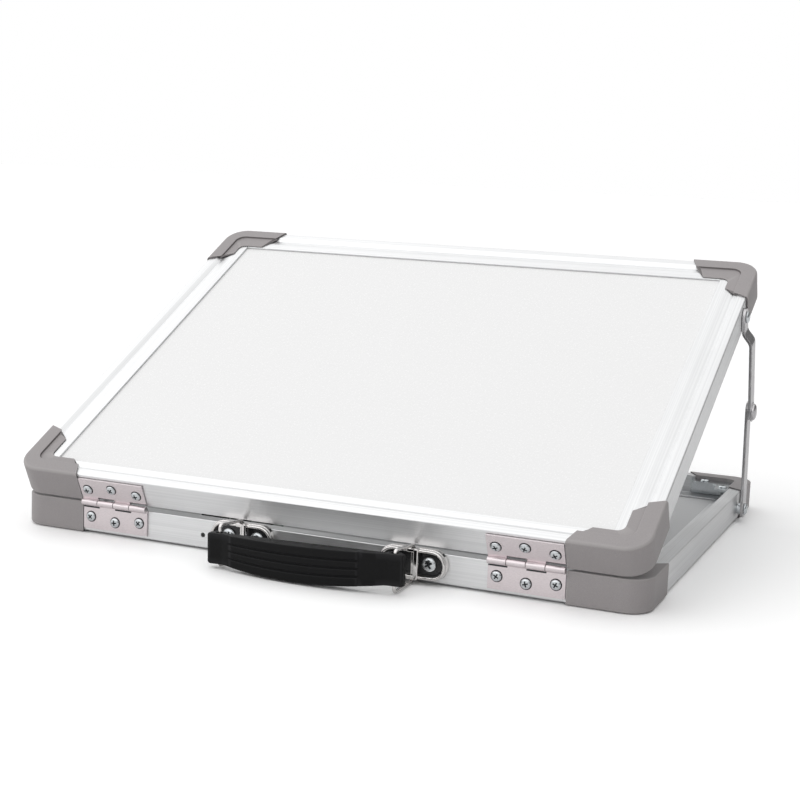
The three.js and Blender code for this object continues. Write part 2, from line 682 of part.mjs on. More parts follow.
const floorTop = TRAY_PARTING_Z - slotMiddle + PANEL_T / 2;
const driver = toGeometry(driverBoard());
tray.add(piece("driver_board", driver, FINISH.board, DRIVER.x, DRIVER.y, floorTop + GAP));
const { half: inletHalf, bore: inletBore, depth: inletDepth } = INLET;
const inletFront = RAIL_WALL + GAP;
const inletBack = BOX_W - RAIL_WALL - GAP;
const socketBody = cut(
  block(-inletHalf, inletHalf, inletFront, inletBack, -inletHalf, inletHalf),
  bar("y", inletBore, 0, inletDepth, 0, 0, HOLE_TURN),
);
tray.add(piece("power_socket", toGeometry(socketBody), FINISH.inlet, INLET_X, 0, INLET_Z));

const brace = toGeometry(cornerBrace());
for (const [side, name, turn] of [[-1, "left", -Math.PI / 2], [1, "right", Math.PI]]) {
  const x = side * (WIDTH / 2 - BOX_W - GAP);
  const y = DEPTH - BOX_W - GAP;
  tray.add(piece(`corner_brace_${name}`, brace, FINISH.steel, x, y, 0, 0, 0, turn));
}

const screwHinge = toGeometry(screw(HINGE_HEAD));
const headY = -GAP - PLATE_T - HEAD_CLEARANCE;
for (const [side, name] of [[-1, "left"], [1, "right"]]) {
  const x = side * HINGE_X;
  const lower = toGeometry(hingePlate(-1, 1));
  const upper = toGeometry(hingePlate(1, 0));
  const pin = bar("x", PIN_R, -HINGE_LENGTH / 2, HINGE_LENGTH / 2, 0, 0, HOLE_TURN);
  tray.add(piece(`hinge_${name}_lower_plate`, lower, FINISH.steel, x, PIN_Y, PIN_Z));
  tray.add(piece(`hinge_${name}_pin`, toGeometry(pin), FINISH.steel, x, PIN_Y, PIN_Z));
  lidParts.add(piece(`hinge_${name}_upper_plate`, upper, FINISH.steel, x, PIN_Y, PIN_Z));
  hingeScrews().forEach((hole, i) => {
    const at = x + hole.x;
    const screwName = (leaf) => `hinge_${name}_${leaf}_screw_${i + 1}`;
    tray.add(piece(screwName("lower"), screwHinge, FINISH.screw, at, headY, PIN_Z - hole.reach));
    lidParts.add(piece(screwName("upper"), screwHinge, FINISH.screw, at, headY, PIN_Z + hole.reach));
  });
}

const bracket = toGeometry(handleBracket());
const loop = toGeometry(wireLoop());
const screwHandle = toGeometry(screw(HANDLE_HEAD));
for (const [side, name] of [[-1, "left"], [1, "right"]]) {
  const x = HANDLE_X + (side * BRACKET_PITCH) / 2;
  tray.add(piece(`handle_bracket_${name}`, bracket, FINISH.chrome, x, 0, 0));
  tray.add(piece(`handle_loop_${name}`, loop, FINISH.chrome, x, LOOP_AXIS_Y, 0));
  for (const [end, label] of [[-1, "a"], [1, "b"]]) {
    const at = x + end * BRACKET_SCREW_X;
    const headBack = -BRACKET.floor - HEAD_CLEARANCE;
    tray.add(piece(`handle_screw_${name}_${label}`, screwHandle, FINISH.screw, at, headBack, bracketZ));
  }
}
const strapShape = toGeometry(carryStrap());
const strap = piece("handle_strap", strapShape, FINISH.strap, HANDLE_X, STRAP_BACK_Y, STRAP.bottom);
strap.rotation.y = -STRAP_TILT;
tray.add(strap);

// Elbow of the working position: the triangle of the two arms on the line between the leaf pivots
const lidPivot = new THREE.Vector2(STAY_Y - PIN_Y, STAY_LID_Z - PIN_Z)
  .rotateAround(new THREE.Vector2(), OPEN_ANGLE)
  .add(new THREE.Vector2(PIN_Y, PIN_Z));
const span = lidPivot.clone().sub(new THREE.Vector2(STAY_Y, STAY_BASE_Z));
const reach = span.length();
const lowerTurn = Math.acos((LOWER_ARM ** 2 + reach ** 2 - UPPER_ARM ** 2) / (2 * LOWER_ARM * reach));
const upperTurn = Math.acos((UPPER_ARM ** 2 + reach ** 2 - LOWER_ARM ** 2) / (2 * UPPER_ARM * reach));
const lowerAngle = span.angle() - lowerTurn;
const upperAngle = span.angle() + upperTurn - Math.PI;

const armGeometry = { lower: lowerArm(), upper: upperArm() };
const rivetGeometry = { base: leafRivet(LOWER_LAYER), lid: leafRivet(LID_LAYER) };

// The left stay is the right one reflected in the plane x = 0
function mirrored(geometry) {
  const copy = geometry.clone();
  copy.applyMatrix4(new THREE.Matrix4().makeScale(-1, 1, 1));
  for (let i = 0; i < copy.index.count; i += 3) {
    const first = copy.index.getX(i);
    copy.index.setX(i, copy.index.getX(i + 1));
    copy.index.setX(i + 1, first);
  }
  return copy;
}

for (const [side, name] of [[-1, "left"], [1, "right"]]) {
  const handed = (body) => (side > 0 ? toGeometry(body) : mirrored(toGeometry(body)));
  const rail = WIDTH / 2;
  const lower = piece(`stay_${name}_lower_arm`, handed(armGeometry.lower), FINISH.steel);
  lower.position.set(side * (rail + LOWER_LAYER), STAY_Y, STAY_BASE_Z);
  lower.rotation.x = lowerAngle;
  const upper = piece(`stay_${name}_upper_arm`, handed(armGeometry.upper), FINISH.steel);
  upper.position.set(side * (rail + LID_LAYER), lidPivot.x, lidPivot.y);
  upper.rotation.x = upperAngle;
  const baseRivet = piece(`stay_${name}_base_rivet`, handed(rivetGeometry.base), FINISH.screw);
  baseRivet.position.set(side * rail, STAY_Y, STAY_BASE_Z);
  const lidRivet = piece(`stay_${name}_lid_rivet`, handed(rivetGeometry.lid), FINISH.screw);
  lidRivet.position.set(side * rail, STAY_Y, STAY_LID_Z);
  tray.add(lower, upper, baseRivet);
  lidParts.add(lidRivet);
}

const lightBox = new THREE.Group();
lightBox.position.set(0, -ORIGIN_Y, 0);
lightBox.add(tray, lid);

export default lightBox;
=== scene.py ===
# Folding light box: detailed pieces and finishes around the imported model.
import itertools
import json
import math

import bmesh
import bpy
from mathutils import Matrix, Quaternion, Vector


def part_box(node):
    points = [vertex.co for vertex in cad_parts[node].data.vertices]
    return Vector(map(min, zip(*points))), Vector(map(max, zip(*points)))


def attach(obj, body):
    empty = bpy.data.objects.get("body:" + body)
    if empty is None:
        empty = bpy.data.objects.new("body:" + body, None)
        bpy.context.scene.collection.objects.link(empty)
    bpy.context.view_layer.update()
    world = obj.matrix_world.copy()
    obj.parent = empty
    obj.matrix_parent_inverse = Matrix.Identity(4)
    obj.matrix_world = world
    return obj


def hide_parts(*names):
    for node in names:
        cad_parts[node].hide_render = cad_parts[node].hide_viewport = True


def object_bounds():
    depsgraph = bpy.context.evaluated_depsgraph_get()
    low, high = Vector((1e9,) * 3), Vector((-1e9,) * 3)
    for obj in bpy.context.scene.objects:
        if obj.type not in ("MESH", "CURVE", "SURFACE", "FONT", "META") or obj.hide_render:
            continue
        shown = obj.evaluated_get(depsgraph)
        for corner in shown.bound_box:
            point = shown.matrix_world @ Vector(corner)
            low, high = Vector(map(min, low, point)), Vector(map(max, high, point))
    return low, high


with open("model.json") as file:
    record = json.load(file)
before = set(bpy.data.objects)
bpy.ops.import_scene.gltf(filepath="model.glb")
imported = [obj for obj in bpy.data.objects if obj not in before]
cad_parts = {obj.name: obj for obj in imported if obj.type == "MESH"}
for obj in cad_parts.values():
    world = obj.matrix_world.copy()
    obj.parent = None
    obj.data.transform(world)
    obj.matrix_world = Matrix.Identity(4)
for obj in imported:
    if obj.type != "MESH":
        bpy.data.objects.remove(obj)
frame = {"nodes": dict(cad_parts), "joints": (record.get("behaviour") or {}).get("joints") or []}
cad_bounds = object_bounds()

# ---- The frame: places in millimetres, x to the right, y back from the front rail's face, z up ----

MM = 0.001
JOINTS = {joint["name"]: joint for joint in frame["joints"]}
LID_PIN = Vector(JOINTS["lid_hinge"]["pos_m"])
LID_OPEN = math.radians(-JOINTS["lid_hinge"]["range_deg"][0])
LID_TURN = (Matrix.Translation(LID_PIN) @ Matrix.Rotation(LID_OPEN, 4, "X")
            @ Matrix.Translation(-LID_PIN))
FRONT_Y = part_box("tray_rail_front")[0].y
WIDTH = (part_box("tray_rail_right")[1].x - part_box("tray_rail_left")[0].x) / MM
DEPTH = (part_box("tray_rail_rear")[1].y - FRONT_Y) / MM
EDGE = WIDTH / 2
PIN_Y = (LID_PIN.y - FRONT_Y) / MM
PIN_Z = LID_PIN.z / MM
TRAY_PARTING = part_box("tray_rail_front")[1].z / MM
PARTINGS = {"tray": TRAY_PARTING, "lid": TRAY_PARTING + 2 * (PIN_Z - TRAY_PARTING)}
GAP = 0.3  # clearance between pieces


def spot(x=0.0, y=0.0, z=0.0):
    return Matrix.Translation(Vector((x * MM, FRONT_Y + y * MM, z * MM)))


def turned(axis, degrees):
    return Matrix.Rotation(math.radians(degrees), 4, axis)


def leaf_place(leaf, x, y, quarter):
    """Where a rail or cap drawn for the lid's front edge goes; the tray's are turned over."""
    place = spot(x, y, PARTINGS[leaf]) @ turned("Z", 90 * quarter)
    return LID_TURN @ place if leaf == "lid" else place @ turned("Y", 180)


# ---- Materials ------------------------------------------------------------------------------

NOISE_MIDDLE = (0.3, 0.7)  # the part of a noise's range that is spread over the tones
CLOUD_SCALE = 14


def feed(tree, one, inputs):
    """Links each input to the socket given for it, or sets it to the value given."""
    for name, value in inputs.items():
        if isinstance(value, bpy.types.NodeSocket):
            tree.links.new(value, one.inputs[name])
        else:
            one.inputs[name].default_value = value


def node(tree, kind, inputs, output, **settings):
    one = tree.nodes.new(kind)
    for key, value in settings.items():
        setattr(one, key, value)
    feed(tree, one, inputs)
    return one.outputs[output]


def remap(tree, source, old, new):
    """A smooth step of the source from the old range to the new one."""
    limits = {"From Min": old[0], "From Max": old[1], "To Min": new[0], "To Max": new[1]}
    return node(tree, "ShaderNodeMapRange", {"Value": source, **limits}, "Result",
                interpolation_type="SMOOTHSTEP")


def material(name, low, high, rough, grain, stretch=(1, 1, 1), bump=0.1, depth=0.00005,
             metal=0.0, cloud=0.0, edge_highlight=0.0, highlight_colour=(1, 1, 1), **fixed):
    """Two tones mixed by a stretched grain, a slow cloud over it, and a painted highlight on rounded edges.
    """
    made = bpy.data.materials.new(name)
    made.use_nodes = True
    tree = made.node_tree

    def noise(source, scale, detail):
        return node(tree, "ShaderNodeTexNoise",
                    {"Vector": source, "Scale": scale, "Detail": detail, "Roughness": 0.6}, "Fac")

    def mix(one, two, factor, **settings):
        return node(tree, "ShaderNodeMix", {"Factor": factor, "A": one, "B": two}, "Result",
                    data_type="RGBA", **settings)

    place = node(tree, "ShaderNodeTexCoord", {}, "Object")
    stretched = node(tree, "ShaderNodeMapping", {"Vector": place, "Scale": stretch}, "Vector")
    fine = noise(stretched, grain, 4)
    slow = noise(place, CLOUD_SCALE, 3) if cloud else fine
    colour = mix((*low, 1), (*high, 1), remap(tree, fine, NOISE_MIDDLE, (0, 1)))
    if cloud:
        colour = mix(colour, remap(tree, slow, NOISE_MIDDLE, (1 - cloud, 1)), 1, blend_type="MULTIPLY")
    # painted highlight: the marked rounded edges are mixed toward a lighter tone
    if edge_highlight:
        edge = node(tree, "ShaderNodeAttribute", {}, "Fac", attribute_name="edge_highlight")
        amount = node(tree, "ShaderNodeMath", {0: edge, 1: edge_highlight}, 0, operation="MULTIPLY")
        colour = mix(colour, (*highlight_colour, 1), amount)
    relief = node(tree, "ShaderNodeBump", {"Strength": bump, "Distance": depth, "Height": fine}, "Normal")
    feed(tree, tree.nodes["Principled BSDF"], {
        "Base Color": colour, "Metallic": metal, "Roughness": remap(tree, slow, NOISE_MIDDLE, rough),
        "Normal": relief, **{socket.replace("_", " "): value for socket, value in fixed.items()},
    })
    return made


MATERIALS = {
    "rail": material("brushed_rail", (0.79, 0.795, 0.80), (0.89, 0.895, 0.90), rough=(0.34, 0.46),
                     grain=900, stretch=(0.002, 1, 1), bump=0.25, depth=0.00003, metal=1.0, cloud=0.04),
    # the lighter rounded edges of the caps are a painted highlight
    "cap": material("moulded_grey", (0.295, 0.275, 0.277), (0.345, 0.322, 0.324), rough=(0.42, 0.55),
                    grain=2600, bump=0.25, depth=0.00004, cloud=0.07, edge_highlight=0.25,
                    highlight_colour=(0.5, 0.48, 0.47)),
    # painted shade on the steep wall of the caps' step
    "cap_step_shade": material("painted_step_shade", (0.12, 0.108, 0.108), (0.15, 0.136, 0.135), rough=(0.5, 0.6),
                         grain=2600, bump=0.25, depth=0.00004, cloud=0.07),
    "opal": material("opal_sheet", (0.81, 0.81, 0.81), (0.83, 0.83, 0.83), rough=(0.24, 0.28),
                     grain=900, bump=0.0, Coat_Weight=0.15, Coat_Roughness=0.1),
    "floor": material("tray_sheet", (0.60, 0.605, 0.61), (0.66, 0.665, 0.67), rough=(0.38, 0.5),
                      grain=1400, bump=0.1, depth=0.00003, cloud=0.03),
    "back": material("back_sheet", (0.62, 0.63, 0.64), (0.69, 0.70, 0.71), rough=(0.4, 0.5),
                     grain=1500, bump=0.1, depth=0.00003, cloud=0.05),
    "guide": material("guide_sheet", (0.80, 0.85, 0.86), (0.85, 0.89, 0.9), rough=(0.08, 0.15),
                      grain=600, bump=0.02, depth=0.00002, cloud=0.02),
    "steel": material("hinge_sheet", (0.74, 0.675, 0.69), (0.82, 0.75, 0.765), rough=(0.26, 0.36),
                      grain=2200, stretch=(0.25, 1, 1), bump=0.1, depth=0.00002, metal=1.0, cloud=0.05),
    "stay": material("stay_sheet", (0.50, 0.49, 0.50), (0.68, 0.67, 0.68), rough=(0.2, 0.34),
                     grain=1200, stretch=(1, 0.12, 1), bump=0.15, depth=0.00003, metal=1.0, cloud=0.1),
    "screw": material("plated_screw", (0.60, 0.63, 0.65), (0.75, 0.78, 0.8), rough=(0.14, 0.24),
                      grain=1800, bump=0.08, depth=0.00002, metal=1.0, cloud=0.08),
    # painted shade inside screw recesses, hinge countersinks and the hinges' seat notches
    "recess": material("painted_recess_shade", (0.03, 0.035, 0.04), (0.08, 0.085, 0.09), rough=(0.4, 0.6),
                       grain=2500, bump=0.2, depth=0.00004, metal=0.3),
    "chrome": material("polished_chrome", (0.72, 0.70, 0.69), (0.83, 0.81, 0.80), rough=(0.05, 0.12),
                       grain=700, bump=0.03, depth=0.00002, metal=1.0, cloud=0.06),
    "pan": material("bracket_pan", (0.012, 0.012, 0.013), (0.03, 0.03, 0.032), rough=(0.2, 0.35),
                    grain=1500, bump=0.1, depth=0.00004, cloud=0.1),
    # the lighter rounded edges of the strap are a painted highlight
    "strap": material("grained_strap", (0.003, 0.003, 0.0034), (0.007, 0.007, 0.0075),
                      rough=(0.42, 0.55), grain=1900, bump=0.4, depth=0.00006, cloud=0.12, edge_highlight=0.6,
                      highlight_colour=(0.022, 0.022, 0.024), Specular_IOR_Level=0.16),
    "board": material("circuit_board", (0.01, 0.08, 0.035), (0.015, 0.12, 0.05), rough=(0.3, 0.45),
                      grain=1500, bump=0.1, depth=0.00003, cloud=0.1),
    "chip": material("chip_black", (0.01, 0.01, 0.01), (0.03, 0.03, 0.03), rough=(0.35, 0.5),
                     grain=2500, bump=0.2, depth=0.00003, cloud=0.1),
    "lamp": material("lamp_board", (0.78, 0.77, 0.70), (0.86, 0.85, 0.78), rough=(0.35, 0.45),
                     grain=1500, bump=0.05, depth=0.00002, cloud=0.04),
}

# ---- Mesh work, drawn in millimetres ----------------------------------------------------------

MERGE = 1e-4
MERGE_AXIS = 1e-5  # a lathe's points on its axis
CREASE = math.radians(36)
NARROW = 1.3  # the faces of a rounded edge are narrower than this
# rounded edges that turn more than this get the painted highlight
HIGHLIGHT_TURN = math.radians(12)


def mesh_of(name, bm, finishes):
    """Closes a bmesh into a mesh in metres, smooth between its creases, with its rounded edges marked for a
    painted highlight.
    """
    bmesh.ops.remove_doubles(bm, verts=bm.verts, dist=MERGE)
    bmesh.ops.recalc_face_normals(bm, faces=bm.faces)

    def width(face):
        return face.calc_area() / max(edge.calc_length() for edge in face.edges)

    bm.faces.index_update()
    narrow = [width(face) < NARROW for face in bm.faces]

    def highlight_at(vert):
        if not all(narrow[face.index] for face in vert.link_faces):
            return 0.0
        turns = [edge.calc_face_angle_signed(0) for edge in vert.link_edges]
        return float(max(turns) > HIGHLIGHT_TURN and min(turns) > -HIGHLIGHT_TURN)

    highlighted = [highlight_at(vert) for vert in bm.verts]
    mesh = bpy.data.meshes.new(name)
    bm.to_mesh(mesh)
    bm.free()
    mesh.transform(Matrix.Scale(MM, 4))
    mesh.attributes.new("edge_highlight", "FLOAT", "POINT").data.foreach_set("value", highlighted)
    mesh.shade_smooth()
    mesh.set_sharp_from_angle(angle=CREASE)
    for finish in finishes:
        mesh.materials.append(MATERIALS[finish])
    return mesh


def link(name, data):
    one = bpy.data.objects.new(name, data)
    bpy.context.scene.collection.objects.link(one)
    return one


def put(name, mesh, where, body, cad_node):
    """Places a piece, lets it ride on a body and hides the CAD node it stands for."""
    piece = link(name, mesh)
    piece.matrix_world = where
    even = piece.modifiers.new("even_normals", "WEIGHTED_NORMAL")
    even.keep_sharp = True
    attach(piece, body)
    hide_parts(cad_node)


def clamped(value):
    return max(0.0, min(1.0, value))


def filleted(corners, steps=3):
    """A closed outline in u, v from corners given as u, v and radius."""
    out = []
    for i, (u, v, r) in enumerate(corners):
        here = Vector((u, v))
        if r <= 0:
            out.append(here)
            continue
        before = (Vector(corners[i - 1][:2]) - here).normalized()
        after = (Vector(corners[(i + 1) % len(corners)][:2]) - here).normalized()
        half = before.angle(after) / 2
        centre = here + (before + after).normalized() * (r / math.sin(half))
        first = here + before * (r / math.tan(half)) - centre
        last = here + after * (r / math.tan(half)) - centre
        sweep = first.angle(last)
        for k in range(steps + 1):
            t = k / steps
            arm = first * math.sin((1 - t) * sweep) + last * math.sin(t * sweep)
            out.append(centre + arm / math.sin(sweep))
    return out


def eased(u, v, du, dv, r):
    """Three points round the corner at u, v of a section that lies towards du, dv from it."""
    return [(u + du * r, v), (u + du * r * 0.3, v + dv * r * 0.3), (u, v + dv * r)]


def loft(rings, closed=False):
    """Faces between rings of equal length, with the ends filled or the last ring joined to the first."""
    bm = bmesh.new()
    rows = [[bm.verts.new(point) for point in ring] for ring in rings]
    pairs = list(zip(rows, rows[1:]))
    if closed:
        pairs.append((rows[-1], rows[0]))
    for one, two in pairs:
        for i in range(len(one)):
            j = (i + 1) % len(one)
            bm.faces.new((one[i], one[j], two[j], two[i]))
    if not closed:
        bm.faces.new(rows[0][::-1])
        bm.faces.new(rows[-1])
    return bm


def prism(outline, low, high):
    return loft([[(p[0], p[1], z) for p in outline] for z in (low, high)])


def slab(x, y, z):
    """A box from its range along each axis."""
    return prism([(x[0], y[0]), (x[1], y[0]), (x[1], y[1]), (x[0], y[1])], *z)


def lathe(profile, segments, axis="Z", centre=(0, 0, 0)):
    """Turns radius and height pairs about an axis; the profile's ends lie on it."""
    spin = {"Z": Matrix.Identity(3), "X": Matrix.Rotation(math.pi / 2, 3, "Y"),
            "Y": Matrix.Rotation(math.pi / 2, 3, "X")}[axis]
    bm = bmesh.new()
    rows = []
    for k in range(segments):
        a = 2 * math.pi * k / segments
        rows.append([bm.verts.new(spin @ Vector((r * math.cos(a), r * math.sin(a), h)) + Vector(centre))
                     for r, h in profile])
    for k, one in enumerate(rows):
        two = rows[(k + 1) % segments]
        for i, j in zip(range(len(profile)), range(1, len(profile))):
            corners = [one[i], one[j], two[j], two[i]]
            if profile[i][0] == 0:
                corners = [one[i], one[j], two[j]]
            elif profile[j][0] == 0:
                corners = [one[i], one[j], two[i]]
            bm.faces.new(corners)
    bmesh.ops.remove_doubles(bm, verts=bm.verts, dist=MERGE_AXIS)
    return bm


def soften(bm, width, segments=2, angle=35):
    """Rounds every edge sharper than the angle."""
    bmesh.ops.remove_doubles(bm, verts=bm.verts, dist=MERGE)
    bmesh.ops.recalc_face_normals(bm, faces=bm.faces)
    sharp = [e for e in bm.edges if len(e.link_faces) == 2 and e.calc_face_angle() > math.radians(angle)]
    return rounded(bm, sharp, width, segments)


def rounded(bm, edges, width, segments=2):
    bmesh.ops.bevel(bm, geom=edges, offset=width, segments=segments, profile=0.5,
                    affect="EDGES", clamp_overlap=True)
    return bm


def combine(base, tools, operation):
    """The boolean of a bmesh with others, one after another."""
    def holder(bm):
        bmesh.ops.recalc_face_normals(bm, faces=bm.faces)
        mesh = bpy.data.meshes.new("tool")
        bm.to_mesh(mesh)
        bm.free()
        return link("tool", mesh)

    body = holder(base)
    others = [holder(tool) for tool in tools]
    for other in others:
        step = body.modifiers.new("step", "BOOLEAN")
        step.operation = operation
        step.solver = "EXACT"
        step.object = other
    result = bpy.data.meshes.new_from_object(body.evaluated_get(bpy.context.evaluated_depsgraph_get()))
    out = bmesh.new()
    out.from_mesh(result)
    for one in (body, *others):
        old = one.data
        bpy.data.objects.remove(one)
        bpy.data.meshes.remove(old)
    bpy.data.meshes.remove(result)
    return out


def moved(bm, matrix):
    bm.transform(matrix)
    return bm


def shift(x, y, z):
    return Matrix.Translation((x, y, z))


def mark(bm, rule):
    """Gives the second finish to each face whose middle the rule holds for."""
    for face in bm.faces:
        face.material_index = int(rule(face.calc_center_median()))
    return bm


def finish_up(bm, step):
    """Moves every face on by some finishes."""
    for face in bm.faces:
        face.material_index += step
    return bm


# ---- Rails: u runs in from the outer face, v from the parting side up ---------------------------

RAIL_H = 20
RAIL_TRIM = 18  # a rail's outer part stops this far from the corner, under the cap
BOX_W = 10  # the box along its outer side
FLANGE_V = 14  # the underside of the flange
SLOT_U = 14  # the bottom of the slot that holds the sheet
SLOT_V = (15.2, 17.8)
LIP_V = 19
FULL_LIP = 24.2  # how far in the lip over the sheet reaches
SHORT_LIP = 15.8  # the same on the lid's front rail
HOLE_CHAMFER = 0.35


def rail_outline(lip):
    """The extrusion's section, with a wide channel along its top beside a full lip."""
    channel = [(16.8, LIP_V, 4), (11.4, 18.25, 1.2)] if lip == FULL_LIP else [(12, 18.6, 1)]
    return filleted([
        (0, 0, 0.7), (BOX_W, 0, 0.4), (BOX_W, FLANGE_V, 0.5), (FULL_LIP, FLANGE_V, 0.2),
        (FULL_LIP, SLOT_V[0], 0.2), (SLOT_U, SLOT_V[0], 0), (SLOT_U, SLOT_V[1], 0),
        (lip, SLOT_V[1], 0.25), (lip, LIP_V, 0.35), *channel,
        (10.4, 18.1, 0.5), (6.6, RAIL_H, 1.6), (0, RAIL_H, 1.1),
    ])


def rail(length, lip, hole, long_end):
    """An extrusion mitred at both ends; at its long end the lip runs on to meet a neighbour's short lip."""
    half = length / 2

    def end(p, side):
        if side == long_end and p.x > RAIL_TRIM and p.y > sum(SLOT_V) / 2:
            return side * (half - SHORT_LIP - GAP / 2)
        return side * (half - max(RAIL_TRIM, p.x + GAP / 2))

    bm = loft([[(end(p, side), p.x, p.y) for p in rail_outline(lip)] for side in (-1, 1)])
    if not hole:
        return bm
    x, v, radius, deep = hole
    rim = radius + HOLE_CHAMFER
    drill = lathe([(0, -1), (rim, -1), (rim, 0), (radius, HOLE_CHAMFER), (radius, deep), (0, deep)],
                  24, "Y", (x, 0, v))

    # the hole's inner wall gets the black chip finish as painted shade
    def in_shaded_hole(middle):
        return math.hypot(middle.x - x, middle.z - v) < radius + 0.2 and middle.y > 0.25

    return mark(combine(bm, [drill], "DIFFERENCE"), in_shaded_hole)


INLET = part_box("power_socket")
INLET_X = (INLET[0].x + INLET[1].x) / 2 / MM
INLET_Z = (INLET[0].z + INLET[1].z) / 2 / MM
HOLES = {("tray", "front"): (-INLET_X, TRAY_PARTING - INLET_Z, 1.3, 6)}
LIPS = {("lid", "front"): SHORT_LIP}  # the others are full
LONG_ENDS = {("lid", "left"): 1, ("lid", "right"): -1}
RAILS = [("front", WIDTH, 0, 0, 0), ("rear", WIDTH, 0, DEPTH, 2),
         ("left", DEPTH, -EDGE, DEPTH / 2, -1), ("right", DEPTH, EDGE, DEPTH / 2, 1)]
rail_meshes = {}
for leaf, (side, length, x, y, quarter) in itertools.product(PARTINGS, RAILS):
    where = (leaf, side)
    key = (length, LIPS.get(where, FULL_LIP), HOLES.get(where), LONG_ENDS.get(where, 0))
    if key not in rail_meshes:
        # the second finish paints shade inside the inlet hole
        rail_meshes[key] = mesh_of(f"rail_{len(rail_meshes)}", rail(*key), ["rail", "chip"])
    put(f"{leaf}_{side}_extrusion", rail_meshes[key], leaf_place(leaf, x, y, quarter), leaf,
        f"{leaf}_rail_{side}")

# ---- Corner caps: one section swept round the corner --------------------------------------------

CAP_OUT = -1.4  # the cap's outer face
CAP_FOOT = -0.9
SKIRT_U = 10.9
SKIRT_V = 13.7
BAND_U, BAND_V = 10.0, 21.3  # the proud band along the outer side
STRIP_U, STRIP_V = 10.5, 19.9  # the lower strip inside it
STRIP_UNDER = 19.3
LAP_U = 9.2
INNER_EDGE = 22.8
CAP_SECTION = filleted([
    (CAP_OUT, CAP_FOOT, 0.7), (SKIRT_U, CAP_FOOT, 0.3), (SKIRT_U, SKIRT_V, 0),
    (BOX_W + GAP, SKIRT_V, 0), (BOX_W + GAP, -GAP, 0), (-GAP, -GAP, 0), (-GAP, RAIL_H + GAP, 0),
    (LAP_U, RAIL_H + GAP, 0), (LAP_U, STRIP_UNDER, 0), (INNER_EDGE, STRIP_UNDER, 0.1),
    (INNER_EDGE, STRIP_V, 0.35), (STRIP_U, STRIP_V, 0.12), (BAND_U, BAND_V, 0.35),
    (CAP_OUT, BAND_V, 2.2),
], 4)
TURN_RADII = [(CAP_OUT, 17.0), (BAND_U, 7.5), (INNER_EDGE, 5.2)]  # at each u, the corner's radius
STRIP_END = 42.0
LEG_ENDS = [(CAP_OUT, 50.0), (BAND_U, 45.5), (STRIP_U, STRIP_END), (INNER_EDGE, 37.5)]
FIXED_U = 11.5  # further out than this the section is the same for every reach
TURN_STEPS = 10
END_ROUND = 0.35
SHADED_STEP_WALL = (19.95, 21.1)  # the heights between which the step's wall is painted with shade
STEEP = 0.7


def between(table, u):
    for (u0, a), (u1, b) in zip(table, table[1:]):
        if u <= u1:
            return a + (b - a) * (u - u0) / (u1 - u0)
    return table[-1][1]


def inward(u, reach):
    """The section's u with its inner edge moved to the reach."""
    return u if u < FIXED_U else FIXED_U + (u - FIXED_U) * (reach - FIXED_U) / (INNER_EDGE - FIXED_U)


def corner_cap(reach_x, reach_y):
    """The section round the corner; its inner edge is reach_x in on the leg along x, reach_y on the other."""
    insets = (0, 0.7)  # the outermost two sections of each leg
    rings = [[(between(LEG_ENDS, p.x) - inset, inward(p.x, reach_x), p.y) for p in CAP_SECTION]
             for inset in insets]
    for k in range(TURN_STEPS + 1):
        angle = math.radians(-90 - 90 * k / TURN_STEPS)
        ring = []
        for p in CAP_SECTION:
            r = between(TURN_RADII, p.x)
            ring.append((inward(p.x, reach_y) + r + r * math.cos(angle),
                         inward(p.x, reach_x) + r + r * math.sin(angle), p.y))
        rings.append(ring)
    rings += [[(inward(p.x, reach_y), between(LEG_ENDS, p.x) - inset, p.y) for p in CAP_SECTION]
              for inset in insets[::-1]]
    bm = loft(rings)
    bm.normal_update()

    def seen(edge):
        on_top = min(v.co.z for v in edge.verts) > STRIP_UNDER + 0.1
        return on_top or max(min(v.co.x, v.co.y) for v in edge.verts) < CAP_OUT + 0.1

    ends = [face for face in bm.faces if len(face.verts) == len(CAP_SECTION)]
    rounded(bm, [edge for face in ends for edge in face.edges if seen(edge)], END_ROUND)
    bm.normal_update()
    # faces of the step's steep wall get the painted shade finish
    for face in bm.faces:
        x, y, z = face.calc_center_median()
        on_shaded_wall = SHADED_STEP_WALL[0] < z < SHADED_STEP_WALL[1] and abs(face.normal.z) < STEEP
        face.material_index = int(on_shaded_wall and min(x, y) > BAND_U - 1 and max(x, y) < STRIP_END)
    return bm


FRONT_REACH, SIDE_REACH, REAR_REACH = 16.6, 18.0, 23.4
LID_REACHES = {"front_left": (FRONT_REACH, SIDE_REACH), "front_right": (SIDE_REACH, FRONT_REACH),
               "rear_right": (REAR_REACH, SIDE_REACH), "rear_left": (SIDE_REACH, REAR_REACH)}
CORNERS = [("front_left", -EDGE, 0, 0), ("front_right", EDGE, 0, 1),
           ("rear_right", EDGE, DEPTH, 2), ("rear_left", -EDGE, DEPTH, 3)]
cap_meshes = {}
for leaf, (corner, x, y, quarter) in itertools.product(PARTINGS, CORNERS):
    reaches = LID_REACHES[corner] if leaf == "lid" else (INNER_EDGE, INNER_EDGE)
    if reaches not in cap_meshes:
        cap_meshes[reaches] = mesh_of(f"cap_{len(cap_meshes)}", corner_cap(*reaches), ["cap", "cap_step_shade"])
    put(f"{leaf}_{corner}_moulding", cap_meshes[reaches],
        leaf_place(leaf, x, y, quarter if leaf == "lid" else quarter - 1), leaf,
        f"{leaf}_cap_{corner}")

# ---- Screws ---------------------------------------------------------------------------------

SHANK_R = 1.5
PAN_HEAD = [(0.97, 0), (1, 0.12), (1, 0.34), (0.95, 0.52), (0.82, 0.76), (0.6, 0.92), (0.3, 0.99),
            (0, 1)]  # shares of the head's radius and height
RECESS_LONG, RECESS_WIDE = 0.62, 0.15  # half sizes of the cross, as shares of the radius
RECESS_DEEP = 0.75
SCREW_TURN = 137  # degrees from one screw's cross to the next
screw_count = itertools.count(1)


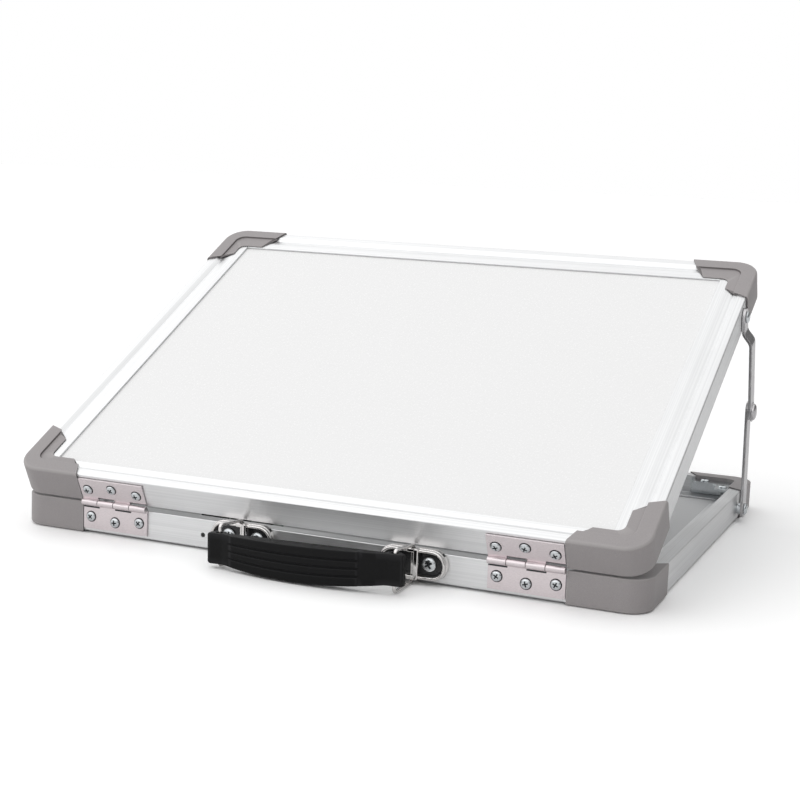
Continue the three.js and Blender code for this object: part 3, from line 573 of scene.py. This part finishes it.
def pan_screw(radius, height, shank):
    """Pan head with a cross recess; its underside lies at z = 0 and z runs out of the work."""
    head = [(radius * r, height * h) for r, h in PAN_HEAD]
    screw = lathe([(0, -shank), (SHANK_R, -shank), (SHANK_R, 0), *head], 32)
    half_long, half_wide = radius * RECESS_LONG, radius * RECESS_WIDE
    rings = []
    for z, share in ((height - height * RECESS_DEEP, 0.62), (height + 0.5, 1.05)):
        x, y = half_long * share, half_wide * share
        rings.append([(-x, -y, z), (x, -y, z), (x, y, z), (-x, y, z)])
    cross = [moved(loft(rings), turned("Z", turn)) for turn in (0, 90)]

    # the cross recess's inner faces get the painted shade finish
    def in_shaded_recess(middle):
        low, high = height * 0.2, height * 0.9
        return low < middle.z < high and math.hypot(middle.x, middle.y) < radius * 0.6

    return mark(combine(screw, cross, "DIFFERENCE"), in_shaded_recess)


def driven(matrix):
    """Turns a screw to point out of the front, with its cross at an angle of its own."""
    return matrix @ turned("X", 90) @ turned("Z", SCREW_TURN * next(screw_count) % 360)


hinge_screw = mesh_of("hinge_screw", pan_screw(3.4, 1.7, 5.2), ["screw", "recess"])
handle_screw = mesh_of("handle_screw", pan_screw(4.9, 2.4, 5.6), ["screw", "recess"])

# ---- Butt hinges ------------------------------------------------------------------------------

HINGE_LENGTH = 50.8
KNUCKLES = 4
PLATE_T = 1.2
PLATE_REACH = (3.1, 18.9)  # how near the pin and how far from it a plate runs
BARREL_R, BARREL_CHAMFER = 2.4, 0.2
PIN_BORE = 1.3
SEAT_REACH = (2.6, 3.9)  # the notch opposite the other leaf's knuckles, painted with shade
HINGE_SCREWS = [(-19.3, 10.2), (0.0, 12.4), (19.3, 10.2)]
COUNTERSINK = [(1.9, -0.85), (3.3, -0.8), (3.95, 0), (4.1, 0.5), (0, 0.5)]  # from the plate's face
SCREW_SEAT = 0.1  # how far a screw's head stands off the plate


def hinge_leaf(side, first):
    """A leaf about the pin axis: its plate behind the pin, and every other knuckle."""
    back = -PIN_Y - GAP
    front = back - PLATE_T
    half = HINGE_LENGTH / 2
    pitch = HINGE_LENGTH / KNUCKLES

    def span(near, far):
        return sorted((side * near, side * far))

    plate = soften(slab((-half, half), (front, back), span(*PLATE_REACH)), 0.18)
    knuckles = []
    for k in range(first, KNUCKLES, 2):
        x0 = -half + k * pitch + (GAP / 2 if k else 0)
        x1 = -half + (k + 1) * pitch - (GAP / 2 if k < KNUCKLES - 1 else 0)
        knuckles.append(slab((x0 + 0.03, x1 - 0.03), (front + 0.02, back - 0.02), span(0.0, 4.0)))
        slim = BARREL_R - BARREL_CHAMFER
        knuckles.append(lathe([(0, x0), (slim, x0), (BARREL_R, x0 + BARREL_CHAMFER),
                               (BARREL_R, x1 - BARREL_CHAMFER), (slim, x1), (0, x1)], 28, "X"))
    body = combine(plate, knuckles, "UNION")
    ends = (-half - 1, half + 1)
    cuts = [lathe([(0, ends[0]), (PIN_BORE, ends[0]), (PIN_BORE, ends[1]), (0, ends[1])], 20, "X")]
    bottom = COUNTERSINK[0][0]
    sink = [(0, -back - 1), (bottom, -back - 1), *[(r, h - front) for r, h in COUNTERSINK]]
    for x, reach in HINGE_SCREWS:
        cuts.append(moved(lathe(sink, 32), shift(x, 0, side * reach) @ turned("X", 90)))
    for k in range(1 - first, KNUCKLES, 2):
        x0 = -half + k * pitch
        cuts.append(slab((x0 - 0.1, x0 + pitch + 0.1), (front - 0.5, front + 0.45), span(*SEAT_REACH)))

    # countersinks and seat notches get the painted shade finish
    def in_shaded_cut(middle):
        off = min(math.hypot(middle.x - x, middle.z - side * reach) for x, reach in HINGE_SCREWS)
        in_seat = SEAT_REACH[0] < side * middle.z < SEAT_REACH[1] + 0.05
        return front + 0.05 < middle.y < back - 0.05 and (in_seat or off < 4)

    return mark(combine(body, cuts, "DIFFERENCE"), in_shaded_cut)


leaf_meshes = {"lower": mesh_of("hinge_lower", hinge_leaf(-1, 1), ["steel", "recess"]),
               "upper": mesh_of("hinge_upper", hinge_leaf(1, 0), ["steel", "recess"])}
HINGE_LEAVES = (("lower", "tray", -1, Matrix.Identity(4)), ("upper", "lid", 1, LID_TURN))
HEAD_Y = -GAP - PLATE_T - SCREW_SEAT
for name in ("left", "right"):
    low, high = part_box(f"hinge_{name}_lower_plate")
    x = (low.x + high.x) / 2 / MM
    for leaf, body, side, turn in HINGE_LEAVES:
        put(f"hinge_{name}_{leaf}_leaf", leaf_meshes[leaf], turn @ spot(x, PIN_Y, PIN_Z), body,
            f"hinge_{name}_{leaf}_plate")
        for i, (dx, reach) in enumerate(HINGE_SCREWS):
            put(f"hinge_{name}_{leaf}_panhead_{i + 1}", hinge_screw,
                driven(turn @ spot(x + dx, HEAD_Y, PIN_Z + side * reach)), body,
                f"hinge_{name}_{leaf}_screw_{i + 1}")

# ---- Handle: oval brackets, wire loops and the strap ----------------------------------------------

LOOP_PIVOTS = {name: Vector(JOINTS[f"loop_{name}_swing"]["pos_m"]) for name in ("left", "right")}
BRACKET_Z = 13.5
BRACKET_LONG, BRACKET_HIGH = 46.8, 20.6
BRACKET_DISH = [  # how far in from the outline, and how far out from the rail
    (0.0, 0.3), (0.0, 3.4), (0.15, 3.8), (0.5, 4.0), (0.6, 4.3), (0.62, 5.3), (0.85, 5.85), (1.3, 6.15),
    (1.8, 6.2), (2.3, 5.95), (2.65, 5.4), (2.75, 4.6), (2.95, 2.6), (3.4, 1.8), (4.2, 1.5),
]
LOOP_BORE = 1.75
LOOP_BORE_Y = -3.9
BRACKET_SCREWS = (("a", -10.6), ("b", 10.6))
BRACKET_HEAD_Y = -1.6
WIRE_R = 1.2 * 0.92
WIRE_SIDES = 16
WIRE_SQUARE = 0.55  # 0 gives a round wire and 1 a square one
LOOP_CORNERS = [(0, 1.5, 1.6), (0, 25.3, 1.6), (-30, 28.5, 2.0), (-30, 1.5, 2.6)]


def stadium(long, high, steps=14):
    r = high / 2
    half = long / 2 - r
    ring = []
    for side in (1, -1):
        for k in range(steps + 1):
            a = math.radians(-90 + 180 * k / steps)
            ring.append((side * (half + r * math.cos(a)), side * r * math.sin(a)))
    return ring


def bracket():
    """Dished oval plate with a round rim, a bridge across its middle and two ears for the loop."""
    dish = loft([[(x, -depth, z) for x, z in stadium(BRACKET_LONG - 2 * inset, BRACKET_HIGH - 2 * inset)]
                 for inset, depth in BRACKET_DISH])
    bridge = soften(slab(x=(1.6, 4.8), y=(-8.0, -4.9), z=(-10.2, 10.2)), 0.8, 3)
    ears = [soften(slab(x=(-3.2, 4.4), y=(-7.2, -1.6), z=z), 0.7, 3) for z in ((-10.3, -7.6), (7.6, 10.3))]
    bore = lathe([(0, -12), (LOOP_BORE, -12), (LOOP_BORE, 12), (0, 12)], 24, "Z", (0, LOOP_BORE_Y, 0))
    out = combine(combine(dish, [bridge, *ears], "UNION"), [bore], "DIFFERENCE")

    def in_pan(middle):
        inner = abs(middle.z) < BRACKET_HIGH / 2 - 2.6 and abs(middle.x) < BRACKET_LONG / 2 - 2.6
        return inner and 1 < -middle.y < 2.7

    return mark(out, in_pan)


def wire(path, radius):
    """A closed wire of rounded square section along a path in the y, z plane."""
    rings = []
    for i, point in enumerate(path):
        along = (path[(i + 1) % len(path)] - path[i - 1]).normalized()
        side = Vector((-along.y, along.x))
        ring = []
        for k in range(WIRE_SIDES):
            a = 2 * math.pi * (k + 0.5) / WIRE_SIDES
            c, s = math.cos(a), math.sin(a)
            square = min(radius / max(abs(c), abs(s)), radius * 1.3)
            reach = radius * (1 - WIRE_SQUARE) + square * WIRE_SQUARE
            across = point + side * (c * reach)
            ring.append((s * reach, across.x, across.y))
        rings.append(ring)
    return loft(rings, closed=True)


bracket_mesh = mesh_of("bracket", bracket(), ["chrome", "pan"])
loop_mesh = mesh_of("wire_loop", wire(filleted(LOOP_CORNERS, 6), WIRE_R), ["chrome"])
for name, pivot in LOOP_PIVOTS.items():
    x = pivot.x / MM
    put(f"handle_{name}_oval", bracket_mesh, spot(x, 0, BRACKET_Z), "tray", f"handle_bracket_{name}")
    put(f"handle_{name}_wire", loop_mesh, spot(x, (pivot.y - FRONT_Y) / MM, 0), f"loop_{name}",
        f"handle_loop_{name}")
    for label, dx in BRACKET_SCREWS:
        put(f"handle_{name}_panhead_{label}", handle_screw,
            driven(spot(x + dx, BRACKET_HEAD_Y, BRACKET_Z)), "tray",
            f"handle_screw_{name}_{label}")

STRAP_H = 20.6
STRAP_HALF = 68.5
STRAP_LOW = 4.6
STRAP_TILT = 0.0256
BOW_FRONT = (1.3, 10.75)  # how far its front stands out at its ends and in its middle
BOW_BACK = (1.9, -6.3)  # where its back lies at its ends and in its middle
BELLY_HALF, BELLY_DEEP = 56.0, 3.5  # the bulge along its lower edge
EYE_X, EYE_R, EYE_BORE = 61.5, 4.0, 2.3
STRAP_ROUND = 0.9
END_SQUEEZE = (0.7, 0.12)  # how much its last two sections shrink
GROOVED = (-52.0, 40.0)
GRIP_SUNK = 0.45
GROOVE_LINES = (0.725, 0.5, 0.275)  # shares of its height, from the top
GROOVE_SECTION = ((1.05, 0.0), (0.62, 0.35), (0.3, 0.95), (-0.3, 0.95), (-0.62, 0.35), (-1.05, 0.0))


def strap_stations():
    """Places along the strap, closer together at its eyes and where the grooves end."""
    x = -STRAP_HALF
    while x < STRAP_HALF - 0.01:
        yield x
        x += 1.0 if abs(x) > 50 or min(abs(x - g) for g in GROOVED) < 2.5 else 2.5
    yield STRAP_HALF


def strap_faces(x):
    """The strap's front and back at x, bowed along its grip and swollen round its eyes."""
    bulge = 1 - (x / STRAP_HALF) ** 2
    near = abs(x) - EYE_X
    eye = (EYE_R - 0.05) / (1 + math.exp(-(near + 9) * 0.8))
    swell = EYE_R / (1 + math.exp((abs(near) - 4.6) * 1.6))
    front = BOW_FRONT[0] + (BOW_FRONT[1] - BOW_FRONT[0]) * bulge
    return -max(front, eye), max(BOW_BACK[0] + (BOW_BACK[1] - BOW_BACK[0]) * bulge, swell)


def strap():
    """Bowed band with round eyes at its ends and lengthwise grooves along its grip."""
    stations = list(strap_stations())
    rings = []
    for i, x in enumerate(stations):
        from_end = min(i, len(stations) - 1 - i)
        squeeze = END_SQUEEZE[from_end] if from_end < len(END_SQUEEZE) else 0.0
        grooved = clamped(min(x - GROOVED[0], GROOVED[1] - x) / 0.8)
        belly = BELLY_DEEP * max(0.0, 1 - (x / BELLY_HALF) ** 2)
        low, high = squeeze - belly, STRAP_H - squeeze
        front, back = strap_faces(x)
        front += squeeze - GRIP_SUNK * grooved
        back -= squeeze
        ring = [*eased(back, low, -1, 1, STRAP_ROUND), *eased(back, high, -1, -1, STRAP_ROUND)[::-1],
                *eased(front, high, 1, -1, STRAP_ROUND)]
        for line in GROOVE_LINES:
            z = line * (STRAP_H + belly) - belly
            ring += [(front + depth * grooved, z + dz) for dz, depth in GROOVE_SECTION]
        ring += eased(front, low, 1, 1, STRAP_ROUND)[::-1]
        rings.append([(x, y, z) for y, z in ring])
    bore = [(0, -1), (EYE_BORE, -1), (EYE_BORE, STRAP_H + 1), (0, STRAP_H + 1)]
    bores = [lathe(bore, 24, "Z", (side * EYE_X, 0, 0)) for side in (-1, 1)]
    return combine(loft(rings), bores, "DIFFERENCE")


strap_middle = LOOP_PIVOTS["left"].lerp(LOOP_PIVOTS["right"], 0.5).x
strap_pivot = Vector(JOINTS["strap_swing"]["pos_m"])
strap_place = Matrix.Translation((strap_middle, strap_pivot.y, STRAP_LOW * MM))
put("handle_band", mesh_of("band", strap(), ["strap"]),
    strap_place @ Matrix.Rotation(-STRAP_TILT, 4, "Y"), "strap", "handle_strap")

# ---- Folding stays ----------------------------------------------------------------------------

LOWER_ARM, UPPER_ARM = 79.0, 76.5  # from pivot to pivot
ARM_W, ARM_T = 13.0, 2.2
ARM_R = ARM_W / 2
LOWER_LAYER, UPPER_LAYER = 3.4, 0.4  # how far out from the rail each arm's pivot end lies
JOGGLE = LOWER_LAYER + ARM_T + GAP - UPPER_LAYER
JOGGLE_Y = (10.5, 21.5)
STATION = 1.5
ELBOW_R, ELBOW_H = 7.4, 3.0
WASHER = [(0, -0.3), (1, -0.3), (1, 0.35), (0.93, 0.5), (0.84, 0.55)]  # share of the radius, height
DOME = [(0.8, 0.6), (0.6, 0.88), (0.3, 0.98), (0, 1)]  # shares of the radius and the height
SHAFT_R, COLLAR_R, RIVET_FOOT = 2.0, 4.2, -2.6
RIVET_HEAD = [(2.0, 0), (4.3, 0), (4.4, 0.2), (4.4, 0.5), (4.1, 1.1), (3.2, 1.65), (1.8, 1.93), (0, 2.0)]


def arm(length, bend):
    """A strip with round ends along +y from its pivot; bend gives the sheet's x at each y."""
    turns = [math.radians(a) for a in range(0, 91, 9)]
    stations = [-ARM_R * math.cos(a) for a in turns]
    y = STATION
    while y < length:
        stations.append(y)
        y += STATION
    stations += [length + ARM_R * math.sin(a) for a in turns]
    rings = []
    for y in stations:
        beyond = max(0.0, -y, y - length)
        w = max(0.35, math.sqrt(max(0.0, ARM_R * ARM_R - beyond * beyond)))
        slope = (bend(y + 0.1) - bend(y - 0.1)) / 0.2
        x0 = bend(y)
        x1 = x0 + ARM_T * math.sqrt(1 + slope * slope)
        r = min(0.3, w * 0.5)
        ring = [*eased(x0, -w, 1, 1, r)[::-1], *eased(x1, -w, -1, 1, r),
                *eased(x1, w, -1, -1, r)[::-1], *eased(x0, w, 1, -1, r)]
        rings.append([(x, y, z) for x, z in ring])
    return loft(rings)


def joggle(y):
    t = clamped((y - JOGGLE_Y[0]) / (JOGGLE_Y[1] - JOGGLE_Y[0]))
    return JOGGLE * t * t * (3 - 2 * t)


def upper_arm():
    """The cranked arm, with the elbow's domed rivet head and washer on its outer face."""
    face = JOGGLE + ARM_T
    profile = [(ELBOW_R * r, face + h) for r, h in WASHER]
    profile += [(ELBOW_R * r, face + ELBOW_H * h) for r, h in DOME]
    elbow = moved(lathe(profile, 28, "X"), shift(0, UPPER_ARM, 0))
    return combine(arm(UPPER_ARM, joggle), [elbow], "UNION")


def lower_arm():
    return arm(LOWER_ARM, lambda y: 0.0)


def pivot_rivet(layer, spacer):
    """The rivet through an arm's pivot end, with a collar behind the arm where it stands off the rail."""
    foot = [(0, RIVET_FOOT), (SHAFT_R, RIVET_FOOT), (SHAFT_R, GAP)]
    collar = [(COLLAR_R, GAP), (COLLAR_R, layer - GAP), (SHAFT_R, layer - GAP)] if spacer else []
    outer = layer + ARM_T + GAP
    return lathe([*foot, *collar, *[(r, outer + h) for r, h in RIVET_HEAD]], 28, "X")


def handed(bm, side):
    """The piece as drawn for the right side, or its mirror image for the left."""
    if side < 0:
        bm.transform(Matrix.Scale(-1, 4, (1, 0, 0)))
        bmesh.ops.reverse_faces(bm, faces=bm.faces)
    return bm


def angle_of(cad_node, pivot, length):
    """Where an arm points at rest, read from its box: the far end of the strip from its pivot."""
    low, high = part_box(cad_node)
    r = ARM_R * MM
    far_z = high.z - r if high.z - pivot.z > pivot.z - low.z else low.z + r
    rise = far_z - pivot.z
    run = math.sqrt(max(0.0, (length * MM) ** 2 - rise ** 2))
    ahead = high.y - r - pivot.y
    behind = low.y + r - pivot.y
    side = 1 if abs(ahead - run) < abs(behind + run) else -1
    return math.atan2(rise, side * run)


for name, side in (("left", -1), ("right", 1)):
    pivots = {part: Vector(JOINTS[f"stay_{part}_{name}_turn"]["pos_m"]) for part in ("lower", "upper")}

    def beside(part, layer=0.0):
        return Matrix.Translation((side * (EDGE + layer) * MM, pivots[part].y, pivots[part].z))

    for part, make, layer, length in (("lower", lower_arm, LOWER_LAYER, LOWER_ARM),
                                      ("upper", upper_arm, UPPER_LAYER, UPPER_ARM)):
        lean = angle_of(f"stay_{name}_{part}_arm", pivots[part], length)
        put(f"stay_{name}_{part}_strip", mesh_of(f"stay_{part}_{name}", handed(make(), side), ["stay"]),
            beside(part, layer) @ Matrix.Rotation(lean, 4, "X"), f"stay_{part}_{name}",
            f"stay_{name}_{part}_arm")
    base = mesh_of(f"base_rivet_{name}", handed(pivot_rivet(LOWER_LAYER, True), side), ["screw"])
    put(f"stay_{name}_base_pin", base, beside("lower"), "tray", f"stay_{name}_base_rivet")
    top = mesh_of(f"lid_rivet_{name}", handed(pivot_rivet(UPPER_LAYER, False), side), ["screw"])
    put(f"stay_{name}_lid_pin", top, beside("upper") @ Matrix.Rotation(LID_OPEN, 4, "X"), "lid",
        f"stay_{name}_lid_rivet")

# ---- Corner braces and the driver board ---------------------------------------------------------

BRACE_LEG, BRACE_WIDE, BRACE_T = 36.0, 12.0, 1.5
BRACE_LOW, BRACE_HIGH = 7.7, 19.4
BRACE_SCREW = 24
BOARD_LOW, BOARD_TOP = 3, 4.6
CHIPS = ((-24, -8, -9, 3, 6), (-2, 8, -6, 6, 5), (14, 26, -8, -1, 4), (13, 24, 3, 9, 3))
BOARD_FEET = ((-26, -9), (26, -9), (-26, 9), (26, 9))


def brace():
    """Two walls against the rails under an angle plate that is screwed down through each leg."""
    half = [(BRACE_LEG, 0, 0), (BRACE_LEG - 5, BRACE_WIDE, 3), (BRACE_WIDE + 5, BRACE_WIDE, 4)]
    corners = [(0, 0, 0), *half, *[(y, x, r) for x, y, r in half[::-1]]]
    plate = prism(filleted(corners, 5), BRACE_HIGH - BRACE_T, BRACE_HIGH)
    walls = [slab((0, x), (0, y), (BRACE_LOW, BRACE_HIGH - 0.2))
             for x, y in ((BRACE_LEG, BRACE_T), (BRACE_T, BRACE_LEG))]
    angle = soften(combine(plate, walls, "UNION"), 0.3, angle=50)
    across = BRACE_WIDE / 2 + 0.3
    heads = [moved(finish_up(pan_screw(3.4, 1.45, 1.0), 1), shift(x, y, BRACE_HIGH - 0.05))
             for x, y in ((BRACE_SCREW, across), (across, BRACE_SCREW))]
    return combine(angle, heads, "UNION")


def driver():
    """A board on four feet with blocks for its parts."""
    board = soften(slab((-30, 30), (-12, 12), (BOARD_LOW, BOARD_TOP)), 0.2, 1)
    chips = [finish_up(soften(slab((x0, x1), (y0, y1), (BOARD_TOP - 0.2, BOARD_TOP + h)), 0.5), 1)
             for x0, x1, y0, y1, h in CHIPS]
    feet = [finish_up(lathe([(0, 0), (2, 0), (2, 3.5), (0, 3.5)], 20, "Z", (x, y, 0)), 2)
            for x, y in BOARD_FEET]
    return combine(board, [*chips, *feet], "UNION")


brace_mesh = mesh_of("brace", brace(), ["screw", "screw", "recess"])
for name, side, turn in (("left", -1, -90), ("right", 1, 180)):
    inset = BOX_W + GAP
    put(f"corner_{name}_angle", brace_mesh,
        spot(side * (EDGE - inset), DEPTH - inset, 0) @ turned("Z", turn), "tray",
        f"corner_brace_{name}")

low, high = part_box("driver_board")
middle = (low + high) / 2
put("driver_assembly", mesh_of("driver", driver(), ["board", "chip", "screw"]),
    Matrix.Translation((middle.x, middle.y, low.z)), "tray", "driver_board")

# ---- CAD pieces that keep their shape -------------------------------------------------------------

KEPT = {
    "drawing_panel": "opal",
    "tray_floor_panel": "floor",
    "lid_back_panel": "back",
    "light_guide": "guide",
    "led_strip": "lamp",
    "power_socket": "chip",
    "hinge_left_pin": "steel",
    "hinge_right_pin": "steel",
}
for name, finish in KEPT.items():
    mesh = frame["nodes"][name].data
    mesh.materials.clear()
    mesh.materials.append(MATERIALS[finish])

# ---- Floor, light and camera ------------------------------------------------------------------------

FLOOR_HALF = 9.0
FLOOR_DROP = 0.0002
FLOOR_BOUNCE = 0.78  # the floor's tone in the metal
FLOOR_SEEN = 1.15  # the floor's tone to the camera
TOP_LIGHT = 0.66
CAMERA_AT = (432.0, -923.8, 277.8)
CAMERA_AIM = (-84.2, 304.6, 61.6)
LENS = 71.77
SHIFT_X = 0.028
ROLL = math.radians(2.22)


def floor_finish():
    """Pale floor that the camera sees a little lighter than it shows in the metal."""
    made = bpy.data.materials.new("studio_floor")
    made.use_nodes = True
    tree = made.node_tree
    seen = node(tree, "ShaderNodeLightPath", {}, "Is Camera Ray")
    tone = node(tree, "ShaderNodeMix", {"Factor": seen, "A": (*[FLOOR_BOUNCE] * 3, 1),
                                        "B": (*[FLOOR_SEEN] * 3, 1)}, "Result", data_type="RGBA")
    feed(tree, tree.nodes["Principled BSDF"], {"Base Color": tone, "Roughness": 0.5})
    return made


def make_floor():
    bm = bmesh.new()
    bm.faces.new([bm.verts.new((x * FLOOR_HALF, y * FLOOR_HALF, 0))
                  for x, y in ((-1, -1), (1, -1), (1, 1), (-1, 1))])
    mesh = bpy.data.meshes.new("floor")
    bm.to_mesh(mesh)
    bm.free()
    floor = link("floor", mesh)
    floor.location.z = cad_bounds[0].z - FLOOR_DROP
    mesh.materials.append(floor_finish())


def make_light():
    """A world that lights from above and from the near left, and is plain white to the camera."""
    world = bpy.data.worlds.new("studio")
    bpy.context.scene.world = world
    world.use_nodes = True
    tree = world.node_tree
    place = node(tree, "ShaderNodeTexCoord", {}, "Generated")

    def along(direction, old, new):
        dot = node(tree, "ShaderNodeVectorMath", {0: place, 1: direction}, "Value", operation="DOT_PRODUCT")
        return remap(tree, dot, old, new)

    sides = along((0.85, 0.5, 0.15), (-0.7, 0.9), (0.81, 0.2))
    tops = along((-0.1, -0.1, 0.99), (0.15, 0.75), (0.0, 1.0))
    above = node(tree, "ShaderNodeMath", {0: tops, 1: TOP_LIGHT}, 0, operation="MULTIPLY")
    light = node(tree, "ShaderNodeMath", {0: sides, 1: above}, 0, operation="ADD")
    seen = node(tree, "ShaderNodeLightPath", {}, "Is Camera Ray")
    strength = node(tree, "ShaderNodeMix", {"Factor": seen, "A": light, "B": 1.0}, "Result")
    feed(tree, tree.nodes["Background"], {"Strength": strength, "Color": (1, 1, 1, 1)})


def make_camera():
    place = spot(*CAMERA_AT).translation
    data = bpy.data.cameras.new("camera")
    data.sensor_width = 36
    data.lens = LENS
    data.shift_x = SHIFT_X
    camera = link("camera", data)
    camera.location = place
    camera.rotation_mode = "QUATERNION"
    view = (spot(*CAMERA_AIM).translation - place).to_track_quat("-Z", "Y")
    camera.rotation_quaternion = view @ Quaternion((0, 0, 1), ROLL)
    bpy.context.scene.camera = camera


make_floor()
make_light()
make_camera()
bpy.context.scene.view_settings.view_transform = "Standard"
